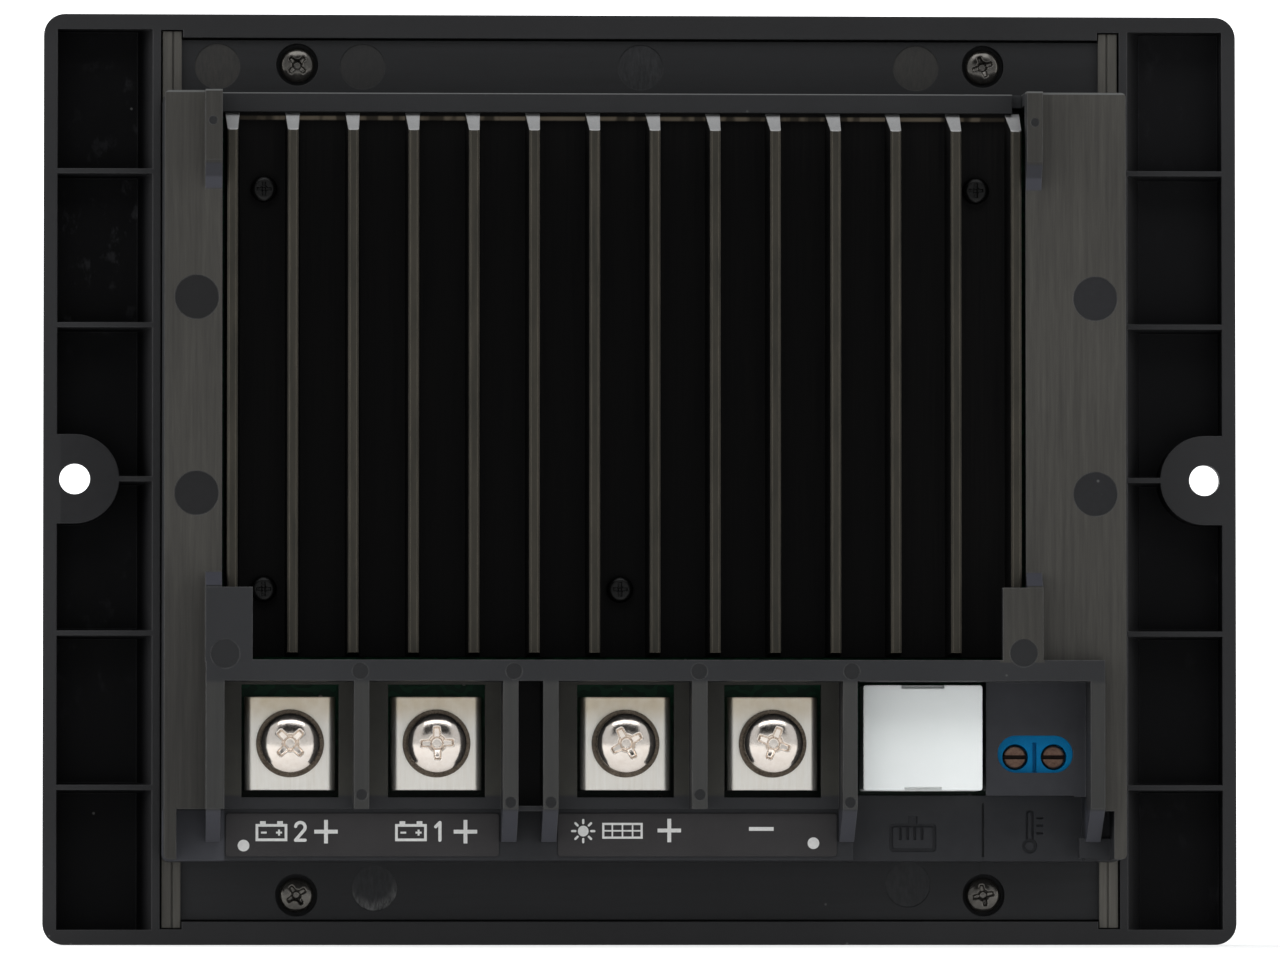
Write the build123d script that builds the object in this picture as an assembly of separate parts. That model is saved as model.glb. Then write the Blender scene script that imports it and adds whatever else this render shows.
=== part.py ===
from build123d import *
import os

os.makedirs("parts", exist_ok=True)

# Flush-mount solar charge controller with two battery outputs.
#
# Everything is drafted in the rear elevation: x to the right as seen from
# behind, y up, z towards the rear, with z = 0 on the plane where the front
# bezel's rim meets the wall, and the origin midway between the two wall
# screws. place() turns that into the row frame: +Z up, front face towards -Y.

# ---- front bezel -----------------------------------------------------------
BEZEL_W, BEZEL_H = 190.0, 148.0
BEZEL_R = 3.4                 # corner radius in elevation
FRONT_Z = -9.5                # front face
SKIN_Z = -7.0                 # back of the 2.5 mm front skin
RIM_X, RIM_Y = 2.2, 2.4       # outer wall thickness
POCKET_X0, POCKET_X1 = 77.7, BEZEL_W / 2 - RIM_X
POCKET_FLOOR_X0 = 80.1        # the inner pocket wall slopes out to here at the floor
CAVITY_X, CAVITY_Y = 76.4, 70.3
RIB_TIP_T, RIB_ROOT_T = 0.8, 1.6
RIB_YS = (-49.0, -24.5, 0.0, 24.5, 49.0)
WALL_SCREW_X = 90.0           # the two wall screws are 180 mm apart
WALL_SCREW_R = 2.45
LUG_R = 7.1
LUG_WEB = 2.6                 # material under the wall screw's head
LUG_SINK_R = 4.2              # front counterbore for the wall screw's head

# ---- rear case -------------------------------------------------------------
CASE_W, CASE_H = 152.4, 121.8  # at the flange; the walls draw in by DRAFT
DRAFT = 1.1
PLATE_W, PLATE_H = 152.2, 140.0
PLATE_Z0, PLATE_Z1 = -2.7, -1.2
STRIP_Y = 71.3                # half length of the raised strips down both sides
WALL = 2.0
DECK_Z = 20.0
RIDGE_Z = 23.4                # tops of the terminal walls and guard ribs
LIP_Z = 13.5                  # low lip above the heat sink
LABEL_Z = 11.5                # ledge that carries the terminal markings
FLOOR_Z = 13.0                # cell floors round the terminals
SERVICE_Z = 6.3               # low ledge below the two small sockets
WIN_X0, WIN_X1, WIN_Y0, WIN_Y1 = -66.7, 59.9, -29.2, 57.6
CASE_SCREWS = [(-54.7, 66.1), (54.7, 66.1), (-54.7, -66.1), (54.7, -66.1)]
BOARD_SCREWS = [(-70.7, 27.9), (70.7, 27.9), (-70.7, -2.95), (70.7, -2.95)]

# ---- heat sink -------------------------------------------------------------
FIN_COUNT, FIN_PITCH, FIN_X0 = 14, 9.5, -65.1
FIN_TIP_T, FIN_ROOT_T = 1.65, 2.3
SINK_Z0, SINK_FLOOR_Z, SINK_TIP_Z = 8.6, 11.0, 20.4
SINK_Y0, SINK_Y1, SINK_TIP_Y1 = -28.5, 57.7, 54.4
SINK_SCREWS = [(-60.1, 45.4), (52.6, 45.4), (-60.1, -17.85), (-3.8, -17.85)]

# ---- boards ----------------------------------------------------------------
MAIN_Z0, MAIN_Z1 = 2.2, 3.8
DISP_Z0, DISP_Z1 = -2.4, -0.8
DISP_SCREWS = [(-56.0, 41.0), (56.0, 41.0), (-56.0, -46.0), (56.0, -46.0)]

# ---- terminals: centre, then the cell's inner walls ------------------------
CELLS = {
    "battery_2": (-55.9, -66.3, -46.0),
    "battery_1": (-32.8, -43.6, -22.6),
    "array": (-2.95, -13.9, 7.1),
    "negative": (20.3, 9.5, 30.8),
}
TERM_Y = -42.2
CLAMP_W, CLAMP_H, CLAMP_T, CLAMP_Z = 14.3, 14.7, 1.2, 12.0
TERM_WINDOW_W, TERM_WINDOW_Y0, TERM_WINDOW_Y1 = 15.3, -50.7, -32.9
M5_R, SCREW_END_Z = 2.5, 5.0
WASHER_R, WASHER_T = 5.35, 1.0
LOCK_R, LOCK_T = 4.7, 1.3
HEAD_R, HEAD_T = 4.6, 3.3

# ---- small sockets ---------------------------------------------------------
JACK_X0, JACK_X1, JACK_Y0, JACK_Y1 = 34.5, 53.3, -49.6, -33.0
JACK_Z1 = 15.6
SENSOR_X, SENSOR_PITCH, SENSOR_SCREW_Y = 61.8, 6.1, -44.3
SENSOR_Z1 = 12.2

# ---- front controls --------------------------------------------------------
DISPLAY_Y = 13.0
LENS_W, LENS_H = 80.0, 46.0
BUTTON_XS = (44.0, 22.0, 0.0, -22.0)   # left to right from the front
BUTTON_Y = -38.0
BUTTON_W, BUTTON_H = 15.0, 8.6
LED_XS, LED_Y = (9.0, 0.0, -9.0), -20.5
USB_X, USB_Y = -48.0, -38.0


def box(x0, x1, y0, y1, z0, z1):
    return Pos((x0 + x1) / 2, (y0 + y1) / 2, (z0 + z1) / 2) * Box(x1 - x0, y1 - y0, z1 - z0)


def cyl(x, y, z0, z1, r):
    return Pos(x, y, (z0 + z1) / 2) * Cylinder(r, z1 - z0)


def rbox(x0, x1, y0, y1, z0, z1, r):
    face = Pos((x0 + x1) / 2, (y0 + y1) / 2, z0) * RectangleRounded(x1 - x0, y1 - y0, r)
    return extrude(face, amount=z1 - z0, dir=(0, 0, 1))


def prism_x(points_yz, x0, x1):
    """A polygon drawn in y and z, extruded from x0 to x1."""
    face = make_face(Polyline(*[(x0, y, z) for y, z in points_yz], close=True))
    return extrude(face, amount=x1 - x0, dir=(1, 0, 0))


def prism_y(points_xz, y0, y1):
    face = make_face(Polyline(*[(x, y0, z) for x, z in points_xz], close=True))
    return extrude(face, amount=y1 - y0, dir=(0, 1, 0))


def lathe(x, y, points_rz):
    """A closed profile of radius and height, revolved about the vertical through (x, y)."""
    face = make_face(Polyline(*[(r, 0, z) for r, z in points_rz], close=True))
    return Pos(x, y, 0) * revolve(face, Axis.Z, 360)


def fuse(*items):
    out = None
    for it in items:
        for s in it if isinstance(it, (list, tuple)) else [it]:
            out = s if out is None else out + s
    return out


def group(shapes):
    """Separate solids of one node, never fused."""
    solids = []
    for s in shapes:
        solids += list(s.solids())
    return Compound(children=solids)


def cross_recess(x, y, z_top, depth, span, blade):
    """A cross-head driver recess: two tapered blades and a conical root."""
    a = Pos(x, y, z_top - depth / 2) * Box(span, blade, depth)
    b = Pos(x, y, z_top - depth / 2) * Box(blade, span, depth)
    c = Pos(x, y, z_top - depth * 0.65) * Cone(blade * 0.45, blade * 1.0, depth * 1.3)
    return a + b + c


def domed_head(x, y, z0, r, t, edge):
    """A pan head: a cylinder whose top rolls over into a low dome."""
    head = cyl(x, y, z0, z0 + t, r)
    rim = [e for e in head.edges().filter_by(GeomType.CIRCLE) if e.center().Z > z0 + t / 2]
    return fillet(rim, edge)


def place(shape):
    return shape.rotate(Axis.X, 90).rotate(Axis.Z, 180)


def write(name, shape):
    export_step(place(shape), f"parts/{name}.step")


# ============================================================================
# Front bezel: one moulding with the front skin, the rim, the ribbed side
# pockets, the wall-screw lugs and the posts that take the other screws.
# ============================================================================
shell = extrude(Pos(0, 0, FRONT_Z) * RectangleRounded(BEZEL_W, BEZEL_H, BEZEL_R), amount=-FRONT_Z, dir=(0, 0, 1))
front_edges = [e for e in shell.edges() if abs(e.center().Z - FRONT_Z) < 1e-3]
shell = fillet(front_edges, 1.2)
cuts = [box(-CAVITY_X, CAVITY_X, -CAVITY_Y, CAVITY_Y, SKIN_Z, 1)]
cuts += [box(-CAVITY_X, -72.9, -STRIP_Y - 0.2, STRIP_Y + 0.2, PLATE_Z0 - 0.2, 1), box(72.9, CAVITY_X, -STRIP_Y - 0.2, STRIP_Y + 0.2, PLATE_Z0 - 0.2, 1)]
for s in (-1, 1):
    x0, x1 = sorted((s * POCKET_X0, s * POCKET_X1))
    cuts.append(box(x0, x1, -BEZEL_H / 2 + RIM_Y, BEZEL_H / 2 - RIM_Y, SKIN_Z, 1))
bezel = shell
for c in cuts:
    bezel = bezel - c
adds = []
for s in (-1, 1):
    x0, x1 = sorted((s * (POCKET_X0 - 0.5), s * (POCKET_X1 + 0.5)))
    for y in RIB_YS:
        r, t = RIB_ROOT_T / 2, RIB_TIP_T / 2
        adds.append(prism_x([(y - r, SKIN_Z - 0.5), (y + r, SKIN_Z - 0.5), (y + t, 0), (y - t, 0)], x0, x1))
    slope = [(s * 77.0, SKIN_Z - 0.5), (s * POCKET_FLOOR_X0, SKIN_Z - 0.5), (s * POCKET_FLOOR_X0, SKIN_Z), (s * POCKET_X0, -0.05), (s * 77.0, -0.05)]
    adds.append(prism_y(slope, -BEZEL_H / 2 + RIM_Y - 0.2, BEZEL_H / 2 - RIM_Y + 0.2))
    lug = cyl(s * WALL_SCREW_X, 0, SKIN_Z - 0.5, 0, LUG_R)
    ox0, ox1 = sorted((s * WALL_SCREW_X, s * (POCKET_X1 + 0.5)))
    lug = lug & box(-BEZEL_W / 2 + 1, BEZEL_W / 2 - 1, -20, 20, -10, 1)
    lug = lug + box(ox0, ox1, -LUG_R, LUG_R, SKIN_Z - 0.5, 0)
    adds.append(lug)
for x, y in CASE_SCREWS:
    adds.append(cyl(x, y, SKIN_Z - 0.5, -4.7, 4.0))
for x, y in DISP_SCREWS:
    adds.append(cyl(x, y, SKIN_Z - 0.5, DISP_Z0, 3.0))
bezel = fuse(bezel, adds)
holes = []
for s in (-1, 1):
    holes.append(cyl(s * WALL_SCREW_X, 0, -12, 2, WALL_SCREW_R))
    holes.append(cyl(s * WALL_SCREW_X, 0, -12, -LUG_WEB, LUG_SINK_R))
for x, y in CASE_SCREWS:
    holes.append(cyl(x, y, -8.5, -4.0, 1.5))
for x, y in DISP_SCREWS:
    holes.append(cyl(x, y, -7.8, -2.0, 1.3))
# overlay recess, stepped display window, button, indicator and charge-port holes
holes.append(rbox(-66, 66, -56, 46, FRONT_Z - 1, FRONT_Z + 0.4, 4))
holes.append(rbox(-LENS_W / 2 - 0.2, LENS_W / 2 + 0.2, DISPLAY_Y - LENS_H / 2 - 0.2, DISPLAY_Y + LENS_H / 2 + 0.2, FRONT_Z - 1, -7.8, 2.2))
holes.append(rbox(-LENS_W / 2 + 2, LENS_W / 2 - 2, DISPLAY_Y - LENS_H / 2 + 2, DISPLAY_Y + LENS_H / 2 - 2, FRONT_Z - 1, SKIN_Z + 1, 1.2))
for x in BUTTON_XS:
    holes.append(rbox(x - BUTTON_W / 2 - 0.25, x + BUTTON_W / 2 + 0.25, BUTTON_Y - BUTTON_H / 2 - 0.25, BUTTON_Y + BUTTON_H / 2 + 0.25, FRONT_Z - 1, SKIN_Z + 1, 1.7))
for x in LED_XS:
    holes.append(cyl(x, LED_Y, FRONT_Z - 1, SKIN_Z + 1, 1.65))
holes.append(rbox(USB_X - 6.9, USB_X + 6.9, USB_Y - 3.2, USB_Y + 3.2, FRONT_Z - 1, SKIN_Z + 1, 0.8))
for h in holes:
    bezel = bezel - h
write("front_bezel", bezel)

# Printed overlay film in its recess on the front face.
overlay = rbox(-65.8, 65.8, -55.8, 45.8, FRONT_Z + 0.05, FRONT_Z + 0.4, 3.8)
overlay = overlay - rbox(-LENS_W / 2 - 0.4, LENS_W / 2 + 0.4, DISPLAY_Y - LENS_H / 2 - 0.4, DISPLAY_Y + LENS_H / 2 + 0.4, FRONT_Z - 1, FRONT_Z + 2, 2.4)
for x in BUTTON_XS:
    overlay = overlay - rbox(x - BUTTON_W / 2 - 0.4, x + BUTTON_W / 2 + 0.4, BUTTON_Y - BUTTON_H / 2 - 0.4, BUTTON_Y + BUTTON_H / 2 + 0.4, FRONT_Z - 1, FRONT_Z + 2, 1.8)
for x in LED_XS:
    overlay = overlay - cyl(x, LED_Y, FRONT_Z - 1, FRONT_Z + 2, 1.7)
overlay = overlay - rbox(USB_X - 7.1, USB_X + 7.1, USB_Y - 3.4, USB_Y + 3.4, FRONT_Z - 1, FRONT_Z + 2, 0.9)
write("front_overlay", overlay)

# Clear display window, seated on the step of its opening.
lens = rbox(-LENS_W / 2, LENS_W / 2, DISPLAY_Y - LENS_H / 2, DISPLAY_Y + LENS_H / 2, FRONT_Z + 0.1, -7.8, 2.0)
write("display_window", lens)

# Liquid-crystal glass in its tray, on the display board.
glass_w, glass_h = LENS_W - 2.0, LENS_H - 1.0
tray = box(-glass_w / 2 - 2, glass_w / 2 + 2, DISPLAY_Y - glass_h / 2 - 2, DISPLAY_Y + glass_h / 2 + 2, -6.7, DISP_Z0)
tray = tray - box(-glass_w / 2 - 0.15, glass_w / 2 + 0.15, DISPLAY_Y - glass_h / 2 - 0.15, DISPLAY_Y + glass_h / 2 + 0.15, -7, -4.4)
write("display_tray", tray)
write("display_glass", box(-glass_w / 2, glass_w / 2, DISPLAY_Y - glass_h / 2, DISPLAY_Y + glass_h / 2, -6.5, -4.4))

# Display board, its screws, switches, indicator lamps.
disp = rbox(-61, 61, -51, 46, DISP_Z0, DISP_Z1, 2)
for x, y in DISP_SCREWS:
    disp = disp - cyl(x, y, -4, 1, 1.6)
disp = disp - rbox(USB_X - 8.2, USB_X + 8.2, USB_Y - 4.6, USB_Y + 4.6, -4, 1, 1)
write("display_board", disp)
screws = []
for x, y in DISP_SCREWS:
    s = domed_head(x, y, DISP_Z1, 2.2, 1.5, 0.6) + cyl(x, y, -7.2, DISP_Z1 + 0.1, 1.22)
    screws.append(s - cross_recess(x, y, DISP_Z1 + 1.5, 0.9, 2.0, 0.5))
write("display_board_screws", group(screws))

switches = []
for x in BUTTON_XS:
    s = box(x - 3, x + 3, BUTTON_Y - 3, BUTTON_Y + 3, -5.6, DISP_Z0)
    switches.append(s - cyl(x, BUTTON_Y, -6, -4.4, 1.85))
write("button_switches", group(switches))

BUTTON_NAMES = ("boost_button", "battery_type_button", "bank_select_button", "reading_select_button")
for name, x in zip(BUTTON_NAMES, BUTTON_XS):
    cap = rbox(x - BUTTON_W / 2, x + BUTTON_W / 2, BUTTON_Y - BUTTON_H / 2, BUTTON_Y + BUTTON_H / 2, -10.3, -6.3, 1.5)
    cap = fillet([e for e in cap.edges() if abs(e.center().Z + 10.3) < 1e-3], 0.6)
    cap = cap + rbox(x - BUTTON_W / 2 - 1.2, x + BUTTON_W / 2 + 1.2, BUTTON_Y - BUTTON_H / 2 - 1.2, BUTTON_Y + BUTTON_H / 2 + 1.2, -6.95, -6.2, 2.0)
    write(name, cap)
    write(name + "_plunger", cyl(x, BUTTON_Y, -6.2, -4.8, 1.7))

leds = []
for x in LED_XS:
    body = cyl(x, LED_Y, -3.4, DISP_Z0, 1.9) + cyl(x, LED_Y, -9.3, -3.4, 1.5)
    leds.append(fillet([e for e in body.edges() if abs(e.center().Z + 9.3) < 1e-3], 1.1))
write("status_lamps", group(leds))

# Charge port: a folded steel shell round a moulded tongue, standing on the main board.
usb = rbox(USB_X - 6.6, USB_X + 6.6, USB_Y - 2.9, USB_Y + 2.9, -9.1, MAIN_Z0, 0.5)
usb = usb - rbox(USB_X - 6.25, USB_X + 6.25, USB_Y - 2.56, USB_Y + 2.56, -10, 0.6, 0.3)
write("charge_port_shell", usb)
tongue = box(USB_X - 6.1, USB_X + 6.1, USB_Y - 2.45, USB_Y + 2.45, -1.4, 0.6)
tongue = tongue + box(USB_X - 5.6, USB_X + 5.6, USB_Y - 2.1, USB_Y - 0.3, -8.3, -1.4)
write("charge_port_tongue", tongue)

# ============================================================================
# Main board and what stands on it
# ============================================================================
board = rbox(-73.1, 73.1, -51.0, 57.4, MAIN_Z0, MAIN_Z1, 1.5)
for x, y in BOARD_SCREWS + SINK_SCREWS:
    board = board - cyl(x, y, 0, 6, 1.65)
for k in (-1, 1):
    px = SENSOR_X + k * SENSOR_PITCH / 2
    board = board - box(px - 0.5, px + 0.5, -41.95, -40.85, 0, 6)
write("main_board", board)
screws = []
for x, y in BOARD_SCREWS:
    s = cyl(x, y, 0.5, MAIN_Z0, 2.3) + cyl(x, y, MAIN_Z0, 10.5, 1.42)
    screws.append(s - cyl(x, y, 0, 1.2, 0.9))
write("main_board_screws", group(screws))

link = box(50, 56, 4, 18, DISP_Z1, MAIN_Z0)
write("board_link_connector", link)

chips = [box(-25, -15, 5, 15, 0.7, MAIN_Z0), box(6, 12, 22, 27, 0.5, MAIN_Z0), box(22, 27, -8, -3, 0.5, MAIN_Z0)]
write("control_chips", group(chips))

transistors = []
for i in range(6):
    x = -50.0 + 17.0 * i
    body = box(x - 5.1, x + 5.1, -4.6, 4.6, MAIN_Z1 + 0.1, 8.2)
    tab = box(x - 5.1, x + 5.1, 4.6, 10.9, 6.9, 8.2) - cyl(x, 7.8, 6, 9, 1.9)
    leads = [box(x + d - 0.4, x + d + 0.4, -9.0, -4.6, 5.2, 5.7) + box(x + d - 0.4, x + d + 0.4, -9.0, -8.4, MAIN_Z1, 5.2) for d in (-2.54, 0, 2.54)]
    transistors.append(fuse(body, tab, leads))
write("power_transistors", group(transistors))
write("thermal_strip", box(-57, 43, -5.5, 11.5, 8.2, SINK_Z0))

caps = []
for y0 in (33.5, 5.0):
    can = Pos(67.6, y0 + 9.5, MAIN_Z1 + 5.05) * Rot(90, 0, 0) * Cylinder(5.0, 19.0)
    ring = [e for e in can.edges().filter_by(GeomType.CIRCLE)]
    caps.append(fillet(ring, 0.6))
write("capacitors", group(caps))

shunt = box(36, 50, -24, -21, 6.2, 7.4) + box(36, 37.2, -24, -21, MAIN_Z1, 6.2) + box(48.8, 50, -24, -21, MAIN_Z1, 6.2)
write("current_shunt", shunt)

# ============================================================================
# Heat sink
# ============================================================================
fin_last = FIN_X0 + FIN_PITCH * (FIN_COUNT - 1)
sink = box(FIN_X0 - FIN_ROOT_T / 2, fin_last + FIN_ROOT_T / 2, SINK_Y0, SINK_Y1 + 0.6, SINK_Z0, SINK_FLOOR_Z)
sink = sink - prism_x([(SINK_Y1, SINK_FLOOR_Z + 0.01), (SINK_Y1 + 0.7, SINK_FLOOR_Z + 0.01), (SINK_Y1 + 0.7, SINK_FLOOR_Z - 0.7)], -80, 80)
fins = []
for i in range(FIN_COUNT):
    x = FIN_X0 + FIN_PITCH * i
    rt, tt, e = FIN_ROOT_T / 2, FIN_TIP_T / 2, 0.3
    fins.append(prism_y([(x - rt, SINK_FLOOR_Z - 0.6), (x + rt, SINK_FLOOR_Z - 0.6), (x + rt, SINK_FLOOR_Z), (x + tt, SINK_TIP_Z - e), (x + tt - e, SINK_TIP_Z), (x - tt + e, SINK_TIP_Z), (x - tt, SINK_TIP_Z - e), (x - rt, SINK_FLOOR_Z)], SINK_Y0, SINK_Y1))
sink = fuse(sink, fins)
sink = sink - prism_x([(SINK_Y1, SINK_FLOOR_Z), (SINK_TIP_Y1, SINK_TIP_Z + 0.01), (SINK_Y1 + 3, SINK_TIP_Z + 0.01), (SINK_Y1 + 3, SINK_FLOOR_Z)], -80, 80)
sink = sink - prism_x([(SINK_Y0 - 1, SINK_FLOOR_Z), (SINK_Y0, SINK_FLOOR_Z), (SINK_Y0 + 0.5, SINK_TIP_Z + 0.01), (SINK_Y0 - 1, SINK_TIP_Z + 0.01)], -80, 80)
for x, y in SINK_SCREWS:
    sink = sink - cyl(x, y, 8, 12, 1.65)
write("heat_sink", sink)

screws, spacers = [], []
for x, y in SINK_SCREWS:
    s = domed_head(x, y, SINK_FLOOR_Z, 2.1, 1.7, 0.8) + cyl(x, y, 1.6, SINK_FLOOR_Z, 1.25)
    screws.append(s - cross_recess(x, y, SINK_FLOOR_Z + 1.7, 1.0, 2.3, 0.55))
    spacers.append(cyl(x, y, MAIN_Z1, SINK_Z0, 2.75) - cyl(x, y, 3, 9, 1.55))
write("heat_sink_screws", group(screws))
write("heat_sink_spacers", group(spacers))

# ============================================================================
# Rear case: flange plate plus a drafted box with a window for the heat sink,
# a walled row of terminal cells and a ledge for the markings.
# ============================================================================
hw, hh = CASE_W / 2, CASE_H / 2
parts = [
    # side walls and decks beside the heat sink
    box(-hw, -hw + WALL + 0.4, -hh, hh, PLATE_Z0, DECK_Z),
    box(hw - WALL - 0.4, hw, -hh, hh, PLATE_Z0, DECK_Z),
    box(-hw, WIN_X0, -52.6, hh, DECK_Z - WALL, DECK_Z),
    box(WIN_X1, hw, -32.5, hh, DECK_Z - WALL, DECK_Z),
    box(71.8, hw, -52.9, -32.4, DECK_Z - WALL, DECK_Z),
    # top wall: full height at the decks, a low lip above the heat sink
    box(-hw, WIN_X0, hh - WALL - 0.3, hh, PLATE_Z0, DECK_Z),
    box(WIN_X1, hw, hh - WALL - 0.3, hh, PLATE_Z0, DECK_Z),
    box(WIN_X0 - 1, WIN_X1 + 1, hh - WALL - 0.3, hh, PLATE_Z0, LIP_Z - 2),
    box(WIN_X0 - 0.5, 58.3, WIN_Y1, hh, LIP_Z - 2, LIP_Z),
    # bottom wall and the ledge for the markings
    box(-hw, hw, -hh, -hh + WALL, PLATE_Z0, SERVICE_Z),
    box(-hw, 33.1, -hh, -hh + WALL, PLATE_Z0, LABEL_Z),
    box(72.1, hw, -hh, -hh + WALL, PLATE_Z0, LABEL_Z),
    box(-hw, 33.1, -hh, -52.3, LABEL_Z - 1.7, LABEL_Z),
    box(69.8, hw, -hh, -52.3, LABEL_Z - 1.7, LABEL_Z),
    # walls that close the decks down to that ledge
    box(-hw, -69.2, -52.6, -50.8, LABEL_Z - 1.7, DECK_Z),
    box(71.0, hw, -52.9, -51.1, LABEL_Z - 1.7, DECK_Z),
    # wall between the heat sink and the terminals
    box(-69.2, 72.1, -32.5, WIN_Y0, LABEL_Z - 0.5, RIDGE_Z),
    # outer walls of the terminal row, with sloping feet over the ledge
    box(-69.2, -66.3, -52.6, -29.2, LABEL_Z - 0.5, RIDGE_Z),
    box(69.8, 72.1, -52.6, -29.2, SERVICE_Z - 1.5, RIDGE_Z),
    # dividers between the cells
    box(-46.0, -43.6, -52.6, -32.0, LABEL_Z - 0.5, RIDGE_Z),
    box(-22.6, -20.2, -52.6, -32.0, LABEL_Z - 3.0, RIDGE_Z),
    box(-16.3, -13.9, -52.6, -32.0, LABEL_Z - 3.0, RIDGE_Z),
    box(7.1, 9.5, -52.6, -32.0, LABEL_Z - 0.5, RIDGE_Z),
    box(30.8, 33.1, -52.6, -32.0, SERVICE_Z - 1.5, RIDGE_Z),
    # web across the slot between the two middle walls, and the slot's floor
    box(-20.4, -16.1, -52.9, -52.1, LABEL_Z - 3.0, 20.6),
    box(-20.4, -16.1, -52.6, -32.0, LABEL_Z - 3.0, LABEL_Z - 1.5),
    # cell floors
    box(-66.5, -22.4, -52.5, -32.0, LABEL_Z, FLOOR_Z),
    box(-14.1, 31.0, -52.5, -32.0, LABEL_Z, FLOOR_Z),
    # low ledge below the two small sockets, raised panel over the sensor block
    box(32.5, 72.0, -hh, -50.3, SERVICE_Z - 1.5, SERVICE_Z),
    box(30.8, 33.1, -hh + 0.5, -52.0, SERVICE_Z - 1.5, LABEL_Z),
    box(69.8, 72.1, -hh + 0.5, -52.0, SERVICE_Z - 1.5, LABEL_Z),
    box(54.0, 69.9, -50.4, -32.0, 12.7, 14.1),
    box(68.0, 70.0, -50.6, -49.0, 12.7, 14.1),
    box(54.0, 55.0, -49.5, -32.0, 5.0, 14.1),
    box(68.9, 75.5, -60.3, -57.1, LABEL_Z - 1, LABEL_Z + 1.1),
    # blocks over the heat sink's lower corners, with their ramps
    box(-69.3, -61.9, -29.5, -17.8, SINK_TIP_Z + 0.8, RIDGE_Z),
    box(-69.3, WIN_X0 - 0.2, -29.5, -17.8, DECK_Z - 2, RIDGE_Z),
    box(56.0, 62.4, -29.5, -17.8, SINK_TIP_Z + 0.8, RIDGE_Z),
    box(WIN_X1 + 0.2, 62.4, -29.5, -17.8, DECK_Z - 2, RIDGE_Z),
    prism_x([(-17.8, DECK_Z - 0.5), (-15.3, DECK_Z - 0.5), (-15.3, DECK_Z), (-17.8, RIDGE_Z)], -69.3, WIN_X0),
    prism_x([(-17.8, DECK_Z - 0.5), (-15.3, DECK_Z - 0.5), (-15.3, DECK_Z), (-17.8, RIDGE_Z)], WIN_X1, 62.4),
    # guard ribs beside the upper fins, ramped down to the deck
    prism_x([(60.7, DECK_Z - 1), (60.7, RIDGE_Z), (49.3, RIDGE_Z), (44.8, DECK_Z), (44.8, DECK_Z - 1)], -69.4, WIN_X0),
    prism_x([(60.7, DECK_Z - 1), (60.7, RIDGE_Z), (49.3, RIDGE_Z), (44.8, DECK_Z), (44.8, DECK_Z - 1)], WIN_X1, 62.4),
]
foot = [(-52.5, SERVICE_Z - 1.5), (-52.5, RIDGE_Z), (-57.7, 14.2), (-57.7, SERVICE_Z - 1.5)]
foot_high = [(-52.5, LABEL_Z - 1), (-52.5, RIDGE_Z), (-57.7, 14.2), (-57.7, LABEL_Z - 1)]
parts += [prism_x(foot_high, x0, x1) for x0, x1 in ((-69.2, -66.9), (-22.6, -20.2), (-16.3, -13.9))]
parts += [prism_x(foot, x0, x1) for x0, x1 in ((30.8, 33.1), (69.8, 72.1))]
for x, y in BOARD_SCREWS:
    parts.append(cyl(x, y, MAIN_Z1, DECK_Z - 1, 3.0))
case = fuse(parts)
drawn = extrude(Pos(0, 0, PLATE_Z0) * RectangleRounded(CASE_W, CASE_H, 1.2), amount=40, dir=(0, 0, 1), taper=DRAFT)
case = case & drawn

# flange plate with its side strips, then the four sunk screw seats
plate = box(-PLATE_W / 2, PLATE_W / 2, -PLATE_H / 2, PLATE_H / 2, PLATE_Z0, PLATE_Z1)
for s in (-1, 1):
    x0, x1 = sorted((s * 72.9, s * PLATE_W / 2))
    plate = plate + box(x0 + 0.2 * (s > 0), x1 - 0.2 * (s < 0), -STRIP_Y, STRIP_Y, PLATE_Z0, -0.5)
    g0, g1 = sorted((s * 74.3, s * 74.6))
    plate = plate - box(g0, g1, -STRIP_Y - 1, STRIP_Y + 1, -0.75, 0)
plate = plate - box(-hw + WALL, hw - WALL, -hh + WALL, hh - WALL, -5, 2)
for x, y in CASE_SCREWS:
    plate = plate + cyl(x, y, -4.7, PLATE_Z1, 3.95)
for x, y in CASE_SCREWS:
    plate = plate - cyl(x, y, -3.5, 2, 3.35) - cyl(x, y, -6, 2, 1.65)
case = case + plate

# windows in the cell floors, pilot holes, driver window over the sensor block
cuts = []
for cx, _, _ in CELLS.values():
    cuts.append(box(cx - TERM_WINDOW_W / 2, cx + TERM_WINDOW_W / 2, TERM_WINDOW_Y0, TERM_WINDOW_Y1, 5, FLOOR_Z + 0.5))
for x, y in BOARD_SCREWS:
    cuts.append(cyl(x, y, 3, 14, 1.5))
cuts.append(rbox(SENSOR_X - 6.0, SENSOR_X + 6.0, -46.8, -40.9, 12, 15, 2.94))
cuts.append(box(58.3, WIN_X1, 50, 80, LIP_Z - 2.0, LIP_Z + 10))
# engraved marks on the low ledge: a plug outline, a dividing line, a thermometer
d = 0.35
cuts.append(box(53.9, 54.2, -60.0, -51.6, SERVICE_Z - d, SERVICE_Z + 1))
plug = rbox(39.2, 46.6, -59.2, -54.8, SERVICE_Z - d, SERVICE_Z + 1, 0.6) - rbox(39.7, 46.1, -58.7, -55.3, SERVICE_Z - 1, SERVICE_Z + 2, 0.3)
cuts.append(plug)
cuts += [box(40.7 + 1.15 * k, 41.1 + 1.15 * k, -57.3, -55.4, SERVICE_Z - d, SERVICE_Z + 1) for k in range(4)]
cuts.append(box(42.2, 43.6, -54.8, -53.6, SERVICE_Z - d, SERVICE_Z + 1))
bulb = cyl(61.5, -58.3, SERVICE_Z - d, SERVICE_Z + 1, 1.15) - cyl(61.5, -58.3, SERVICE_Z - 1, SERVICE_Z + 2, 0.72)
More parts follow.
